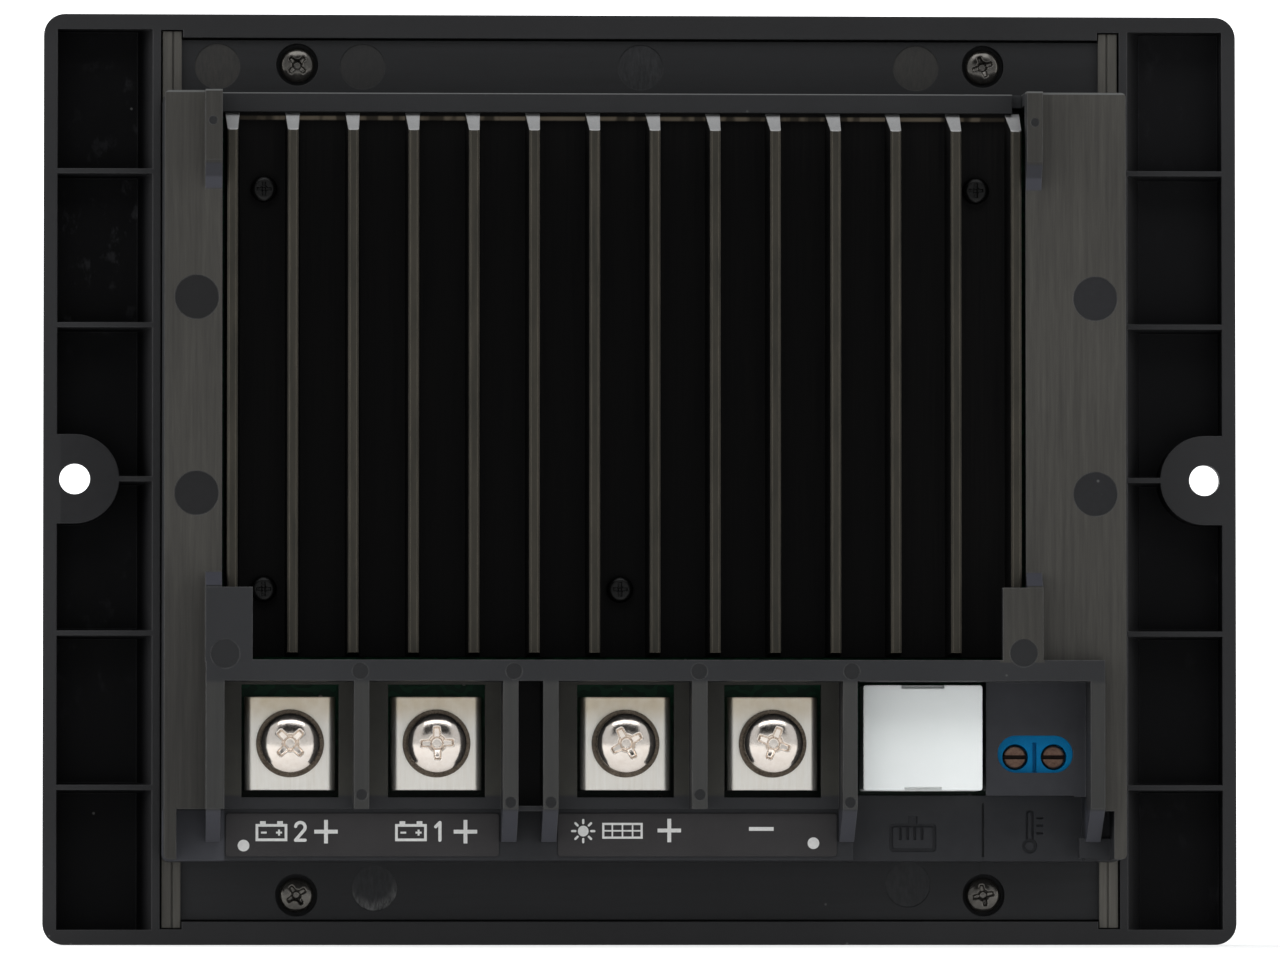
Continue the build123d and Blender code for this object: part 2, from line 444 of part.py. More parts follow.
stem = rbox(60.9, 62.1, -57.6, -52.6, SERVICE_Z - d, SERVICE_Z + 1, 0.55) - rbox(61.2, 61.8, -57.9, -52.9, SERVICE_Z - 1, SERVICE_Z + 2, 0.25)
cuts += [bulb, stem] + [box(62.6, 63.6, y, y + 0.3, SERVICE_Z - d, SERVICE_Z + 1) for y in (-56.4, -55.2, -54.0)]
for c in cuts:
    case = case - c

# ejector-pin witness marks: shallow round sinks
marks = [(-70.7, 27.9, DECK_Z, 3.5), (70.9, 27.9, DECK_Z, 3.5), (-70.7, -2.95, DECK_Z, 3.5), (70.9, -2.95, DECK_Z, 3.5)]
marks += [(x, 65.8, PLATE_Z1, 3.6) for x in (-67.4, -44.3, 0.0, 44.0)]
marks += [(x, y, PLATE_Z1, 3.6) for x, y in ((-42.3, -65.0), (42.6, -64.4))]
marks += [(x, -31.0, RIDGE_Z, 1.3) for x in (-45.0, -20.9, 8.2, 32.2)]
marks += [(-66.2, -28.3, RIDGE_Z, 2.3), (59.3, -28.1, RIDGE_Z, 2.2)]
marks += [(-68.2, 55.5, RIDGE_Z, 0.7), (61.15, 55.5, RIDGE_Z, 0.7)]
marks += [(x, -50.4, RIDGE_Z, 0.9) for x in (-44.8, 8.3)] + [(x, -51.6, RIDGE_Z, 0.9) for x in (-21.4, -15.1, 31.95)]
for x, y, z, r in marks:
    case = case - cyl(x, y, z - 0.12, z + 0.5, r)
write("rear_case", case)

screws = []
for x, y in CASE_SCREWS:
    s = domed_head(x, y, -3.5, 2.75, 2.0, 0.8) + cyl(x, y, -8.0, -3.5, 1.43)
    screws.append(s - cross_recess(x, y, -1.5, 1.2, 2.9, 0.65))
write("case_screws", group(screws))

# Marking plates on the ledge.
for name, x0, x1 in (("battery_marking_plate", -66.0, -22.9), ("array_marking_plate", -13.6, 30.5)):
    write(name, rbox(x0, x1, -60.0, -53.2, LABEL_Z, LABEL_Z + 0.3, 0.5))

# ============================================================================
# Terminals: a bent clamp on the board, a captive nut under it, and a screw
# that carries its own flat and lock washers.
# ============================================================================
nuts = []
for name, (cx, _, _) in CELLS.items():
    w, h = CLAMP_W / 2, CLAMP_H / 2
    outer = [(cx - w, MAIN_Z1), (cx - w, CLAMP_Z), (cx + w, CLAMP_Z), (cx + w, MAIN_Z1),
             (cx + w - CLAMP_T, MAIN_Z1), (cx + w - CLAMP_T, CLAMP_Z - CLAMP_T), (cx - w + CLAMP_T, CLAMP_Z - CLAMP_T), (cx - w + CLAMP_T, MAIN_Z1)]
    clamp = prism_y(outer, TERM_Y - h, TERM_Y + h)
    clamp = fillet([e for e in clamp.edges().filter_by(Axis.Y) if e.center().Z > CLAMP_Z - 0.1], 1.1)
    clamp = clamp - cyl(cx, TERM_Y, 3, 14, 3.1)
    write(f"{name}_terminal", clamp)
    nuts.append(box(cx - 4.0, cx + 4.0, TERM_Y - 4.0, TERM_Y + 4.0, 7.6, CLAMP_Z - CLAMP_T) - cyl(cx, TERM_Y, 3, 14, M5_R + 0.05))
    z = CLAMP_Z
    flat = cyl(cx, TERM_Y, z, z + WASHER_T, WASHER_R) - cyl(cx, TERM_Y, z - 1, z + 3, M5_R + 0.08)
    lock = cyl(cx, TERM_Y, z + WASHER_T, z + WASHER_T + LOCK_T, LOCK_R) - cyl(cx, TERM_Y, z, z + 4, M5_R + 0.08)
    lock = lock - (Pos(cx + 3.6, TERM_Y, z + WASHER_T + LOCK_T / 2) * Rot(25, 0, 0) * Box(3.6, 0.5, 4))
    write(f"{name}_washers", group([flat, lock]))
    hz = z + WASHER_T + LOCK_T
    screw = domed_head(cx, TERM_Y, hz, HEAD_R, HEAD_T, 1.9) + cyl(cx, TERM_Y, SCREW_END_Z, hz, M5_R)
    screw = screw - cross_recess(cx, TERM_Y, hz + HEAD_T, 2.0, 5.0, 1.15)
    write(f"{name}_screw", screw)
write("terminal_nuts", group(nuts))

# ============================================================================
# Small sockets
# ============================================================================
jx = (JACK_X0 + JACK_X1) / 2
jack = rbox(JACK_X0, JACK_X1, JACK_Y0, JACK_Y1, MAIN_Z1, JACK_Z1, 0.4)
jack = jack - box(jx - 5.95, jx + 5.95, JACK_Y0 - 1, JACK_Y0 + 12.4, 6.4, 13.3)
jack = jack - box(jx - 3.05, jx + 3.05, JACK_Y0 - 1, JACK_Y0 + 10.0, 13.2, 14.6)
jack = jack - box(jx - 2.9, jx + 2.9, JACK_Y0 - 1, JACK_Y0 + 0.5, 14.0, JACK_Z1 + 1)
jack = jack - box(jx - 3.4, jx + 3.4, JACK_Y1 - 0.5, JACK_Y1 + 1, JACK_Z1 - 1.2, JACK_Z1 + 1)
write("remote_socket", jack)
wires = []
for k in range(8):
    x = jx - 3.57 + 1.02 * k
    wires.append(prism_x([(JACK_Y0 + 12.4, 6.4), (JACK_Y0 + 12.4, 6.8), (JACK_Y0 + 3.2, 9.0), (JACK_Y0 + 3.0, 8.6), (JACK_Y0 + 11.6, 6.4)], x - 0.2, x + 0.2))
write("remote_socket_contacts", group(wires))

sx0, sx1 = SENSOR_X - 6.3, SENSOR_X + 6.3
block = box(sx0, sx1, -48.9, -40.0, MAIN_Z1, SENSOR_Z1)
block = fillet([e for e in block.edges().filter_by(Axis.X) if e.center().Z > SENSOR_Z1 - 0.1], 0.8)
pins = []
for k, name in ((-1, "sensor_left"), (1, "sensor_right")):
    cx = SENSOR_X + k * SENSOR_PITCH / 2
    block = block - cyl(cx, SENSOR_SCREW_Y, 10.05, 14, 2.05)                     # driver well
    block = block - cyl(cx, SENSOR_SCREW_Y, 9, 11, 1.35)                         # shank hole in the ledge
    block = block - box(cx - 1.8, cx + 1.8, -50, -41.7, 4.2, 9.7)                # wire chamber
    block = block - box(cx - 0.5, cx + 0.5, -42.0, -40.9, 3.0, 7.25)             # pin slot
    cage = box(cx - 1.65, cx + 1.65, -46.6, -42.0, 4.3, 7.7) - box(cx - 1.27, cx + 1.27, -47, -41, 4.8, 7.2)
    write(f"{name}_cage", cage - cyl(cx, SENSOR_SCREW_Y, 7, 8, 1.3))
    pins.append(box(cx - 1.2, cx + 1.2, -47.2, -41.75, 6.75, 7.15) + box(cx - 0.4, cx + 0.4, -41.8, -41.0, 1.2, 7.15))
    screw = cyl(cx, SENSOR_SCREW_Y, 10.1, 11.3, 1.9)
    screw = fillet([e for e in screw.edges().filter_by(GeomType.CIRCLE) if e.center().Z > 11], 0.4)
    screw = screw + cyl(cx, SENSOR_SCREW_Y, 7.2, 10.2, 1.25)
    screw = screw - box(cx - 2.5, cx + 2.5, SENSOR_SCREW_Y - 0.3, SENSOR_SCREW_Y + 0.3, 10.6, 12)
    write(f"{name}_screw", screw)
block = block - box(SENSOR_X - 0.3, SENSOR_X + 0.3, -49.5, -42.0, 11.2, 13)
write("sensor_terminal_block", block)
write("sensor_pins", group(pins))
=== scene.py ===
import math

import bmesh
import bpy
from mathutils import Matrix, Vector


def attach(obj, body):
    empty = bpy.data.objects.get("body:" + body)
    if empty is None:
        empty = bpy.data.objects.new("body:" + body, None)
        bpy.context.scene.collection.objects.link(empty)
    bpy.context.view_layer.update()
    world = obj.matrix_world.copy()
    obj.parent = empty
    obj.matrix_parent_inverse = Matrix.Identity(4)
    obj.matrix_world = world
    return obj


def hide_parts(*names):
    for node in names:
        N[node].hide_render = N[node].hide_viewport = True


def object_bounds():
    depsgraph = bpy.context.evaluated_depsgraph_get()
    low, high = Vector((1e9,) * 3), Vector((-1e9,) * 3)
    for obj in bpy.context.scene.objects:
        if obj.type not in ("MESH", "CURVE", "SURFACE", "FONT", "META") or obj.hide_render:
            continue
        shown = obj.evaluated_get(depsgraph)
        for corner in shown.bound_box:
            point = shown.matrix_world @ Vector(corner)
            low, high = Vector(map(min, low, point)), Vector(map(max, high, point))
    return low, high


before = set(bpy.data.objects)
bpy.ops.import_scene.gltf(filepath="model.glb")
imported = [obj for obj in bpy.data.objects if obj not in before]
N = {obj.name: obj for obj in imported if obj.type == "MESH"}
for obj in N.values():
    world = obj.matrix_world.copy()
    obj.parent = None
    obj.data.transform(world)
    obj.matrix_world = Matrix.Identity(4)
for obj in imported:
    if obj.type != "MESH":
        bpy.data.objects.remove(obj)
cad_lo, cad_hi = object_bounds()
ROOT = "controller"


def P(x, y, z):
    """Rear elevation in millimetres (x right, y up, z towards the rear) to the row frame in metres."""
    return Vector((-x, z, y)) / 1000.0


# ---------------------------------------------------------------------------
# Node tree helper
# ---------------------------------------------------------------------------
class Shade:
    def __init__(self, name):
        self.m = bpy.data.materials.new(name)
        self.m.use_nodes = True
        t = self.t = self.m.node_tree
        t.nodes.clear()
        self.out = t.nodes.new("ShaderNodeOutputMaterial")
        self.b = t.nodes.new("ShaderNodeBsdfPrincipled")
        t.links.new(self.b.outputs[0], self.out.inputs[0])
        co = t.nodes.new("ShaderNodeTexCoord")
        self.mm = self.vec("SCALE", co.outputs["Object"], scale=1000.0)
        s = t.nodes.new("ShaderNodeSeparateXYZ")
        t.links.new(self.mm, s.inputs[0])
        self.x = self.math("MULTIPLY", s.outputs[0], -1.0)
        self.y, self.z = s.outputs[2], s.outputs[1]

    def _in(self, sock, v):
        if isinstance(v, bpy.types.NodeSocket):
            self.t.links.new(v, sock)
        else:
            sock.default_value = v

    def math(self, op, a, b=0.0, c=None, clamp=False):
        n = self.t.nodes.new("ShaderNodeMath")
        n.operation, n.use_clamp = op, clamp
        self._in(n.inputs[0], a)
        self._in(n.inputs[1], b)
        if c is not None:
            self._in(n.inputs[2], c)
        return n.outputs[0]

    def vec(self, op, a, b=None, scale=None):
        n = self.t.nodes.new("ShaderNodeVectorMath")
        n.operation = op
        self._in(n.inputs[0], a)
        if b is not None:
            self._in(n.inputs[1], b)
        if scale is not None:
            n.inputs["Scale"].default_value = scale
        return n.outputs[0]

    def step(self, v, a, b, lo=0.0, hi=1.0):
        n = self.t.nodes.new("ShaderNodeMapRange")
        n.interpolation_type = "SMOOTHSTEP"
        self._in(n.inputs["Value"], v)
        for k, q in (("From Min", a), ("From Max", b), ("To Min", lo), ("To Max", hi)):
            n.inputs[k].default_value = q
        return n.outputs[0]

    def lin(self, v, a, b, lo=0.0, hi=1.0):
        n = self.t.nodes.new("ShaderNodeMapRange")
        self._in(n.inputs["Value"], v)
        for k, q in (("From Min", a), ("From Max", b), ("To Min", lo), ("To Max", hi)):
            n.inputs[k].default_value = q
        return n.outputs[0]

    def band(self, v, a, b, s=0.05):
        return self.math("MULTIPLY", self.step(v, a - s, a + s), self.step(v, b - s, b + s, 1.0, 0.0))

    def rect(self, x0, x1, y0, y1, s=0.05):
        return self.math("MULTIPLY", self.band(self.x, x0, x1, s), self.band(self.y, y0, y1, s))

    def all(self, *masks):
        out = masks[0]
        for m in masks[1:]:
            out = self.math("MULTIPLY", out, m)
        return out

    def any(self, *masks):
        out = masks[0]
        for m in masks[1:]:
            out = self.math("MAXIMUM", out, m)
        return out

    def inv(self, m):
        return self.math("SUBTRACT", 1.0, m)

    def dist(self, cx, cy):
        dx = self.math("SUBTRACT", self.x, cx)
        dy = self.math("SUBTRACT", self.y, cy)
        return self.math("SQRT", self.math("ADD", self.math("MULTIPLY", dx, dx), self.math("MULTIPLY", dy, dy)))

    def disc(self, cx, cy, r, s=0.08):
        return self.step(self.dist(cx, cy), r - s, r + s, 1.0, 0.0)

    def noise(self, per_mm, detail=3.0, rough=0.5, stretch=(1, 1, 1), seed=0.0, lo=0.3, hi=0.7):
        """Fractal noise in 0..1. stretch is in elevation order: x, y, z."""
        s = (stretch[0], stretch[2], stretch[1])
        v = self.vec("MULTIPLY", self.mm, s)
        v = self.vec("ADD", v, (seed * 13.7, seed * 7.1, seed * 3.3))
        n = self.t.nodes.new("ShaderNodeTexNoise")
        self.t.links.new(v, n.inputs["Vector"])
        n.inputs["Scale"].default_value = per_mm
        n.inputs["Detail"].default_value = detail
        n.inputs["Roughness"].default_value = rough
        return self.lin(n.outputs[0], lo, hi)

    def cells(self, per_mm, seed=0.0, feature="F1", stretch=(1, 1, 1)):
        s = (stretch[0], stretch[2], stretch[1])
        v = self.vec("ADD", self.vec("MULTIPLY", self.mm, s), (seed * 9.7, seed * 3.1, seed * 5.3))
        n = self.t.nodes.new("ShaderNodeTexVoronoi")
        n.feature = feature
        self.t.links.new(v, n.inputs["Vector"])
        n.inputs["Scale"].default_value = per_mm
        return n.outputs["Distance"]

    def mix(self, f, a, b):
        n = self.t.nodes.new("ShaderNodeMix")
        n.data_type = "RGBA"
        self._in(n.inputs[0], f)
        self._in(n.inputs[6], a)
        self._in(n.inputs[7], b)
        return n.outputs[2]

    def mixf(self, f, a, b):
        n = self.t.nodes.new("ShaderNodeMix")
        self._in(n.inputs[0], f)
        self._in(n.inputs[2], a)
        self._in(n.inputs[3], b)
        return n.outputs[0]

    def times(self, col, f):
        """A colour times a factor socket."""
        return self.vec("MULTIPLY", col[:3] if isinstance(col, tuple) else col, self.combine(f))

    def combine(self, f):
        n = self.t.nodes.new("ShaderNodeCombineXYZ")
        for i in range(3):
            self._in(n.inputs[i], f)
        return n.outputs[0]

    def set(self, **kw):
        names = dict(colour="Base Color", metal="Metallic", rough="Roughness", spec="Specular IOR Level", coat="Coat Weight",
                     coat_rough="Coat Roughness", ior="IOR", alpha="Alpha", trans="Transmission Weight", aniso="Anisotropic",
                     emit="Emission Color", glow="Emission Strength", sss="Subsurface Weight")
        for k, v in kw.items():
            self._in(self.b.inputs[names[k]], v)
        return self

    def edges(self, mm=0.3):
        """1 along edges, 0 on flats: how far the rounded normal leans from the true one."""
        bev = self.t.nodes.new("ShaderNodeBevel")
        bev.samples = 4
        bev.inputs["Radius"].default_value = mm / 1000.0
        g = self.t.nodes.new("ShaderNodeNewGeometry")
        n = self.t.nodes.new("ShaderNodeVectorMath")
        n.operation = "DOT_PRODUCT"
        self.t.links.new(bev.outputs[0], n.inputs[0])
        self.t.links.new(g.outputs["Normal"], n.inputs[1])
        return self.step(n.outputs["Value"], 0.86, 0.99, 1.0, 0.0)

    def relief(self, height=None, mm=0.02, edge=0.0, strength=1.0, samples=4):
        """Bump of so many millimetres, over edges rounded by the given radius in millimetres."""
        n = None
        if edge:
            bev = self.t.nodes.new("ShaderNodeBevel")
            bev.samples = samples
            bev.inputs["Radius"].default_value = edge / 1000.0
            n = bev.outputs[0]
        if height is not None:
            bmp = self.t.nodes.new("ShaderNodeBump")
            bmp.inputs["Strength"].default_value = strength
            bmp.inputs["Distance"].default_value = mm / 1000.0
            self.t.links.new(height, bmp.inputs["Height"])
            if n is not None:
                self.t.links.new(n, bmp.inputs["Normal"])
            n = bmp.outputs[0]
        if n is not None:
            self.t.links.new(n, self.b.inputs["Normal"])
        return self


def rgb(r, g, b, k=1.0):
    """An sRGB triple, 0 to 255, as linear, times k."""
    f = lambda v: (v / 255 / 12.92 if v / 255 <= 0.04045 else ((v / 255 + 0.055) / 1.055) ** 2.4) * k
    return (f(r), f(g), f(b), 1.0)


def spark(s, grain=5.5):
    """The fine eroded texture of a moulding: height and a matching speck brightness."""
    a = s.noise(grain, 2.0, 0.6, seed=1)
    b = s.noise(grain * 2.6, 1.0, 0.5, seed=2)
    return s.math("ADD", s.math("MULTIPLY", a, 0.65), s.math("MULTIPLY", b, 0.35))


def dusty(s, col, amount=0.10):
    """Specks of lint and a soft tone change over a colour."""
    tone = s.noise(0.035, 3.0, 0.55, seed=4)
    col = s.times(col, s.lin(tone, 0.0, 1.0, 1.0 - amount, 1.0 + amount))
    speck = s.step(s.cells(0.22, seed=3), 0.035, 0.06, 1.0, 0.0)
    keep = s.step(s.noise(0.11, 2.0, seed=8), 0.72, 0.82)
    return s.mix(s.math("MULTIPLY", s.math("MULTIPLY", speck, keep), 0.35), col, (0.16, 0.16, 0.155, 1))


# ---------------------------------------------------------------------------
# Moulded plastics
# ---------------------------------------------------------------------------
WIN_X0, WIN_X1, WIN_Y0, WIN_Y1 = -66.7, 59.9, -29.2, 57.6


def bezel_material():
    s = Shade("bezel_moulding")
    h = spark(s)
    col = s.mix(s.noise(0.05, 3, 0.6, seed=1), rgb(38, 38, 40, 0.62), rgb(43, 43, 45, 0.62))
    # painted shade: the rim is painted darker along its top and, less so, along its bottom
    high = s.step(s.y, 68.0, 72.5, 1.0, 0.72)
    low = s.step(s.y, -72.5, -68.0, 0.82, 1.0)
    col = s.times(col, s.math("MULTIPLY", high, low))
    # the left lug is smoother than the right one; it is painted darker, a painted shade for the dimmer reflection of a
    # smooth face
    lug = s.all(s.disc(-90.0, 0.0, 8.0, 0.3), s.step(s.x, -92.4, -92.0))
    col = s.mix(lug, col, s.mix(s.noise(0.5, 3, seed=17), rgb(27, 27, 30, 0.55), rgb(33, 33, 36, 0.55)))
    # the pockets are polished; painted shade makes them near black, and painted light lifts the right pocket towards
    # the top
    deep = s.math("MULTIPLY", s.step(s.z, -5.6, -0.25, 1.0, 0.0), s.step(s.z, -7.3, -7.15))
    inside = s.band(s.math("ABSOLUTE", s.x), 76.9, 92.9, 0.05)
    floor = s.all(s.step(s.z, -6.9, -6.6, 1.0, 0.0), s.step(s.z, -7.3, -7.15))
    dark = s.all(inside, deep)
    scuff = s.noise(0.16, 5, 0.65, stretch=(1, 0.45, 1), seed=6)
    pocket = s.mix(scuff, rgb(6, 6, 8, 0.5), rgb(13, 13, 15, 0.5))
    # painted light: the right pocket is painted lighter, more towards the top
    right = s.math("MULTIPLY", s.step(s.x, 0, 10), s.step(s.y, -30, 60, 0.25, 0.85))
    pocket = s.mix(right, pocket, rgb(33, 33, 35, 0.6))
    col = s.mix(dark, col, pocket)
    slope = s.all(s.band(s.x, 77.0, 80.3, 0.1), s.band(s.z, -6.6, -0.5, 0.2))
    col = s.mix(slope, col, rgb(38, 38, 39, 0.62))
    smear = s.step(s.noise(0.35, 4, 0.7, stretch=(1, 0.6, 1), seed=9), 0.62, 0.95)
    col = s.mix(s.all(smear, floor, inside, s.lin(s.noise(0.03, 2, seed=5), 0.3, 0.9)), col, rgb(38, 38, 40, 0.7))
    # front skin: a finer satin
    front = s.step(s.z, -9.3, -8.9, 1.0, 0.0)
    col = s.mix(front, col, rgb(33, 33, 35, 0.8))
    # painted highlight: the edges are painted lighter, most strongly near the rear face
    col = s.mix(s.math("MULTIPLY", s.edges(0.28), s.step(s.z, -3.0, -0.2, 0.15, 0.45)), col, rgb(84, 84, 86, 0.8))
    col = dusty(s, col, 0.07)
    rough = s.lin(h, 0, 1, 0.46, 0.62)
    rough = s.mixf(dark, rough, 0.5)
    s.set(colour=col, rough=rough, spec=s.mixf(dark, 0.30, 0.07)).relief(h, 0.010, edge=0.30)
    return s.m


# deck ejector sinks: x, y, radius, and k, how light each is painted (painted reflection)
DECK_MARKS = [(-70.7, 27.9, 3.5, 0.24), (70.9, 27.9, 3.5, 0.78), (-70.7, -2.95, 3.5, 0.30), (70.9, -2.95, 3.5, 0.60)]
WALL_MARKS = [(x, -31.0, 1.3) for x in (-45.0, -20.9, 8.2, 32.2)] + [(-66.2, -28.3, 2.3), (59.3, -28.1, 2.2), (-68.2, 55.5, 0.7), (61.15, 55.5, 0.7)]
WALL_MARKS += [(x, -50.4, 0.9) for x in (-44.8, 8.3)] + [(x, -51.6, 0.9) for x in (-21.4, -15.1, 31.95)]


def case_material():
    s = Shade("case_moulding")
    h = spark(s, 6.5)
    base = s.mix(s.noise(0.06, 3, 0.6, seed=2), rgb(44, 45, 48, 0.62), rgb(49, 50, 53, 0.62))
    warm_a, warm_b = rgb(62, 60, 56, 0.80), rgb(75, 73, 68, 0.80)
    streak = s.noise(1.1, 4, 0.62, stretch=(1, 0.035, 1), seed=11)
    fine = s.noise(3.2, 2, 0.6, stretch=(1, 0.05, 1), seed=12)
    warm = s.mix(streak, warm_a, warm_b)
    warm = s.times(warm, s.lin(fine, 0, 1, 0.88, 1.12))
    # the flat tops that carry the eroded texture
    deck = s.band(s.z, 19.6, 20.3, 0.1)
    ridge = s.step(s.z, 22.9, 23.2)
    left = s.step(s.x, 0, 1, 1.0, 0.0)
    # painted shade: the left half of the deck is painted darker, and darker again towards the bottom
    left_painted_shade = s.math("MULTIPLY", s.step(s.y, -26, -4, 0.66, 1.0), 0.76)
    cloud = s.step(s.noise(0.045, 3, 0.6, stretch=(1, 0.35, 1), seed=33), 0.2, 0.9, 0.90, 1.08)
    warm_deck = s.times(warm, s.math("MULTIPLY", s.mixf(left, 0.90, left_painted_shade), cloud))
    col = s.mix(deck, base, warm_deck)
    vertical = s.any(*[s.band(s.x, a, b, 0.1) for a, b in ((-69.6, -66.0), (-46.3, -43.3), (-22.9, -19.9), (-16.6, -13.6), (6.8, 9.8), (30.5, 33.4), (69.5, 72.4))])
    below = s.step(s.y, -33.2, -32.2, 1.0, 0.0)
    cool = s.mix(streak, rgb(58, 58, 57, 0.62), rgb(66, 66, 64, 0.62))
    col = s.mix(ridge, col, s.times(base, 0.86))
    # painted light: the wall tops in the terminal row are painted lighter near the middle and darker towards the sides
    col = s.mix(s.all(ridge, vertical, below), col, s.times(cool, s.step(s.math("ABSOLUTE", s.math("SUBTRACT", s.x, 5.0)), 30.0, 34.0, 1.12, 0.92)))
    guard = s.all(ridge, s.step(s.y, 44, 45))
    col = s.mix(guard, col, s.times(warm, 0.56))
    left_blk = s.all(ridge, s.rect(-69.4, -61.8, -29.6, -17.0))
    col = s.mix(left_blk, col, s.times(base, 0.80))
    right_blk = s.all(ridge, s.rect(55.5, 62.6, -29.6, -17.0))
    col = s.mix(right_blk, col, s.times(warm, 0.64))
    # ramps and feet are polished; their cool bluish colour is a painted reflection of the surroundings, and the upper
    # ramp is painted darker above y 47 as painted shade
    foot = s.all(s.band(s.z, 12.5, 22.7, 0.4), s.step(s.y, -53.0, -52.5, 1.0, 0.0), vertical)
    col = s.mix(foot, col, rgb(64, 65, 74, 0.60))
    ramp = s.all(s.band(s.z, 20.15, 23.0, 0.15), s.any(s.band(s.y, 44.7, 49.6, 0.1), s.band(s.y, -18.0, -15.2, 0.1)))
    ramp_top_shade = s.step(s.y, 46.6, 47.0, 1.0, 0.55)
    col = s.mix(ramp, col, s.times(rgb(74, 75, 84, 0.62), ramp_top_shade))
    # flange panels and their raised side strips
    outer = s.step(s.math("ABSOLUTE", s.y), 60.0, 60.5)
    strip = s.all(s.band(s.math("ABSOLUTE", s.x), 72.9, 76.5, 0.05), s.band(s.z, -0.9, -0.2, 0.05), outer)
    # painted light: the bottom-right strip is painted lighter than the other strips
    corner = s.all(s.step(s.x, 0, 1), s.step(s.y, -60, -59, 1.0, 0.0))
    col = s.mix(strip, col, s.times(warm, s.mixf(corner, 1.30, 1.85)))
    panel = s.all(s.step(s.z, -0.95, -0.75, 1.0, 0.0), outer)
    streak2 = s.noise(0.8, 4, 0.6, stretch=(0.04, 1, 1), seed=14)
    # painted shade: the upper flange panel is painted darker than the lower one
    tone = s.step(s.y, -1, 1, 0.90, 0.70)
    col = s.mix(panel, col, s.times(s.mix(streak2, rgb(33, 34, 36, 0.62), rgb(39, 40, 43, 0.62)), tone))
    # the lip over the fins: painted shade darkens it, and a painted highlight lightens its top edge
    lip = s.all(s.band(s.z, 12.9, 14.2, 0.1), s.step(s.y, 56.0, 57.0))
    col = s.mix(lip, col, s.times(base, 0.56))
    lip_edge_highlight = s.all(s.band(s.z, 12.2, 14.2, 0.1), s.step(s.y, 60.35, 60.55))
    col = s.mix(lip_edge_highlight, col, rgb(118, 119, 119, 0.85))
    # painted highlight along the top edge of the deck
    top_edge_highlight = s.all(s.step(s.z, 19.5, 19.8), s.step(s.y, 60.08, 60.2))
    col = s.mix(top_edge_highlight, col, rgb(100, 101, 100, 0.80))
    # ejector sinks: smooth; painted darker and cooler than the texture as a painted reflection of the dim surroundings,
    # each by its own factor k, and the small marks on the wall tops are painted darker still; a few on the flange
    # panels catch warm light and are painted lighter and warm as painted light
    for x, y, r, k in DECK_MARKS:
        smooth = s.mix(s.noise(0.9, 3, seed=21), rgb(33, 34, 38, 0.55 * k), rgb(38, 39, 43, 0.55 * k))
        col = s.mix(s.all(s.disc(x, y, r), s.step(s.z, 19.0, 19.5)), col, smooth)
    small = s.any(*[s.disc(*m) for m in WALL_MARKS])
    col = s.mix(s.all(small, s.step(s.z, 22.9, 23.1)), col, s.times(base, 0.48))
    lit = s.any(*[s.disc(x, 65.8, 3.6) for x in (-67.4, -44.3, 44.0)])
    hatch = s.noise(2.2, 3, 0.7, stretch=(1, 0.3, 1), seed=22)
    weak = s.step(s.math("ABSOLUTE", s.math("ADD", s.x, 44.3)), 5.0, 6.0, 0.45, 1.0)
    col = s.mix(s.all(lit, panel, weak), col, s.mix(hatch, rgb(42, 42, 41, 0.75), rgb(57, 55, 52, 0.75)))
    faint = s.any(s.disc(0.0, 65.8, 3.6), s.disc(-42.3, -65.0, 3.6), s.disc(42.6, -64.4, 3.6))
    col = s.mix(s.all(faint, panel, s.lin(hatch, 0.2, 1.0)), col, rgb(50, 51, 53, 0.6))
    # painted highlight: a light crescent along the lower rim of one sink
    crescent_highlight = s.all(s.disc(-42.3, -65.0, 3.6), s.inv(s.disc(-42.6, -63.4, 3.9, 0.9)), panel, s.lin(hatch, 0.0, 0.8))
    col = s.mix(crescent_highlight, col, rgb(104, 104, 104, 0.7))
    # painted shade: the deep floor of the slot and the inside of the wells are painted near black
    slot = s.all(s.rect(-20.3, -15.8, -52.2, -32.4, 0.1), s.step(s.z, 12.0, 22.0, 1.0, 0.0))
    col = s.mix(slot, col, rgb(17, 17, 17, 0.5))
    # ledges and cell floors
    ledge = s.all(s.step(s.y, -52.9, -52.6, 1.0, 0.0), s.band(s.z, 5.0, 12.9, 0.2))
    col = s.mix(ledge, col, s.mix(s.noise(0.5, 3, seed=24), rgb(44, 45, 49, 0.62), rgb(49, 50, 54, 0.62)))
    # painted light: the left end of the ledge is painted lighter and cooler
    col = s.mix(s.all(ledge, s.step(s.x, -66.4, -66.1, 1.0, 0.0)), col, rgb(68, 69, 75, 0.85))
    cell = s.all(s.band(s.z, 12.3, 13.2, 0.2), s.band(s.y, -50.4, -32.2, 0.3), s.step(s.x, 32, 33, 1.0, 0.0))
    col = s.mix(cell, col, s.mix(s.noise(0.4, 3, seed=27), rgb(57, 56, 51, 0.78), rgb(63, 62, 56, 0.78)))
    board_panel = s.all(s.band(s.z, 13.6, 14.5, 0.1), s.rect(53.9, 69.8, -50.6, -32.0))
    col = s.mix(board_panel, col, s.mix(s.noise(0.4, 3, seed=28), rgb(52, 53, 58, 0.72), rgb(57, 58, 63, 0.72)))
    seam = s.all(s.band(s.x, 53.9, 54.2, 0.06), s.step(s.y, -51.5, -51.0, 1.0, 0.0))
    col = s.mix(s.math("MULTIPLY", seam, 0.5), col, rgb(20, 20, 21, 0.6))
    # edges painted lighter in patches: a painted highlight along the edges, mixed with wear
    wear_and_sheen = s.math("MULTIPLY", s.edges(0.30), s.step(s.noise(0.5, 3, 0.6, seed=31), 0.1, 0.8, 0.25, 0.75))
    col = s.mix(s.all(wear_and_sheen, s.step(s.z, 10.0, 19.0)), col, rgb(92, 92, 92, 0.75))
    col = dusty(s, col, 0.05)
    rough = s.lin(h, 0, 1, 0.48, 0.64)
    s.set(colour=col, rough=rough, spec=0.30).relief(h, 0.012, edge=0.25)
    return s.m


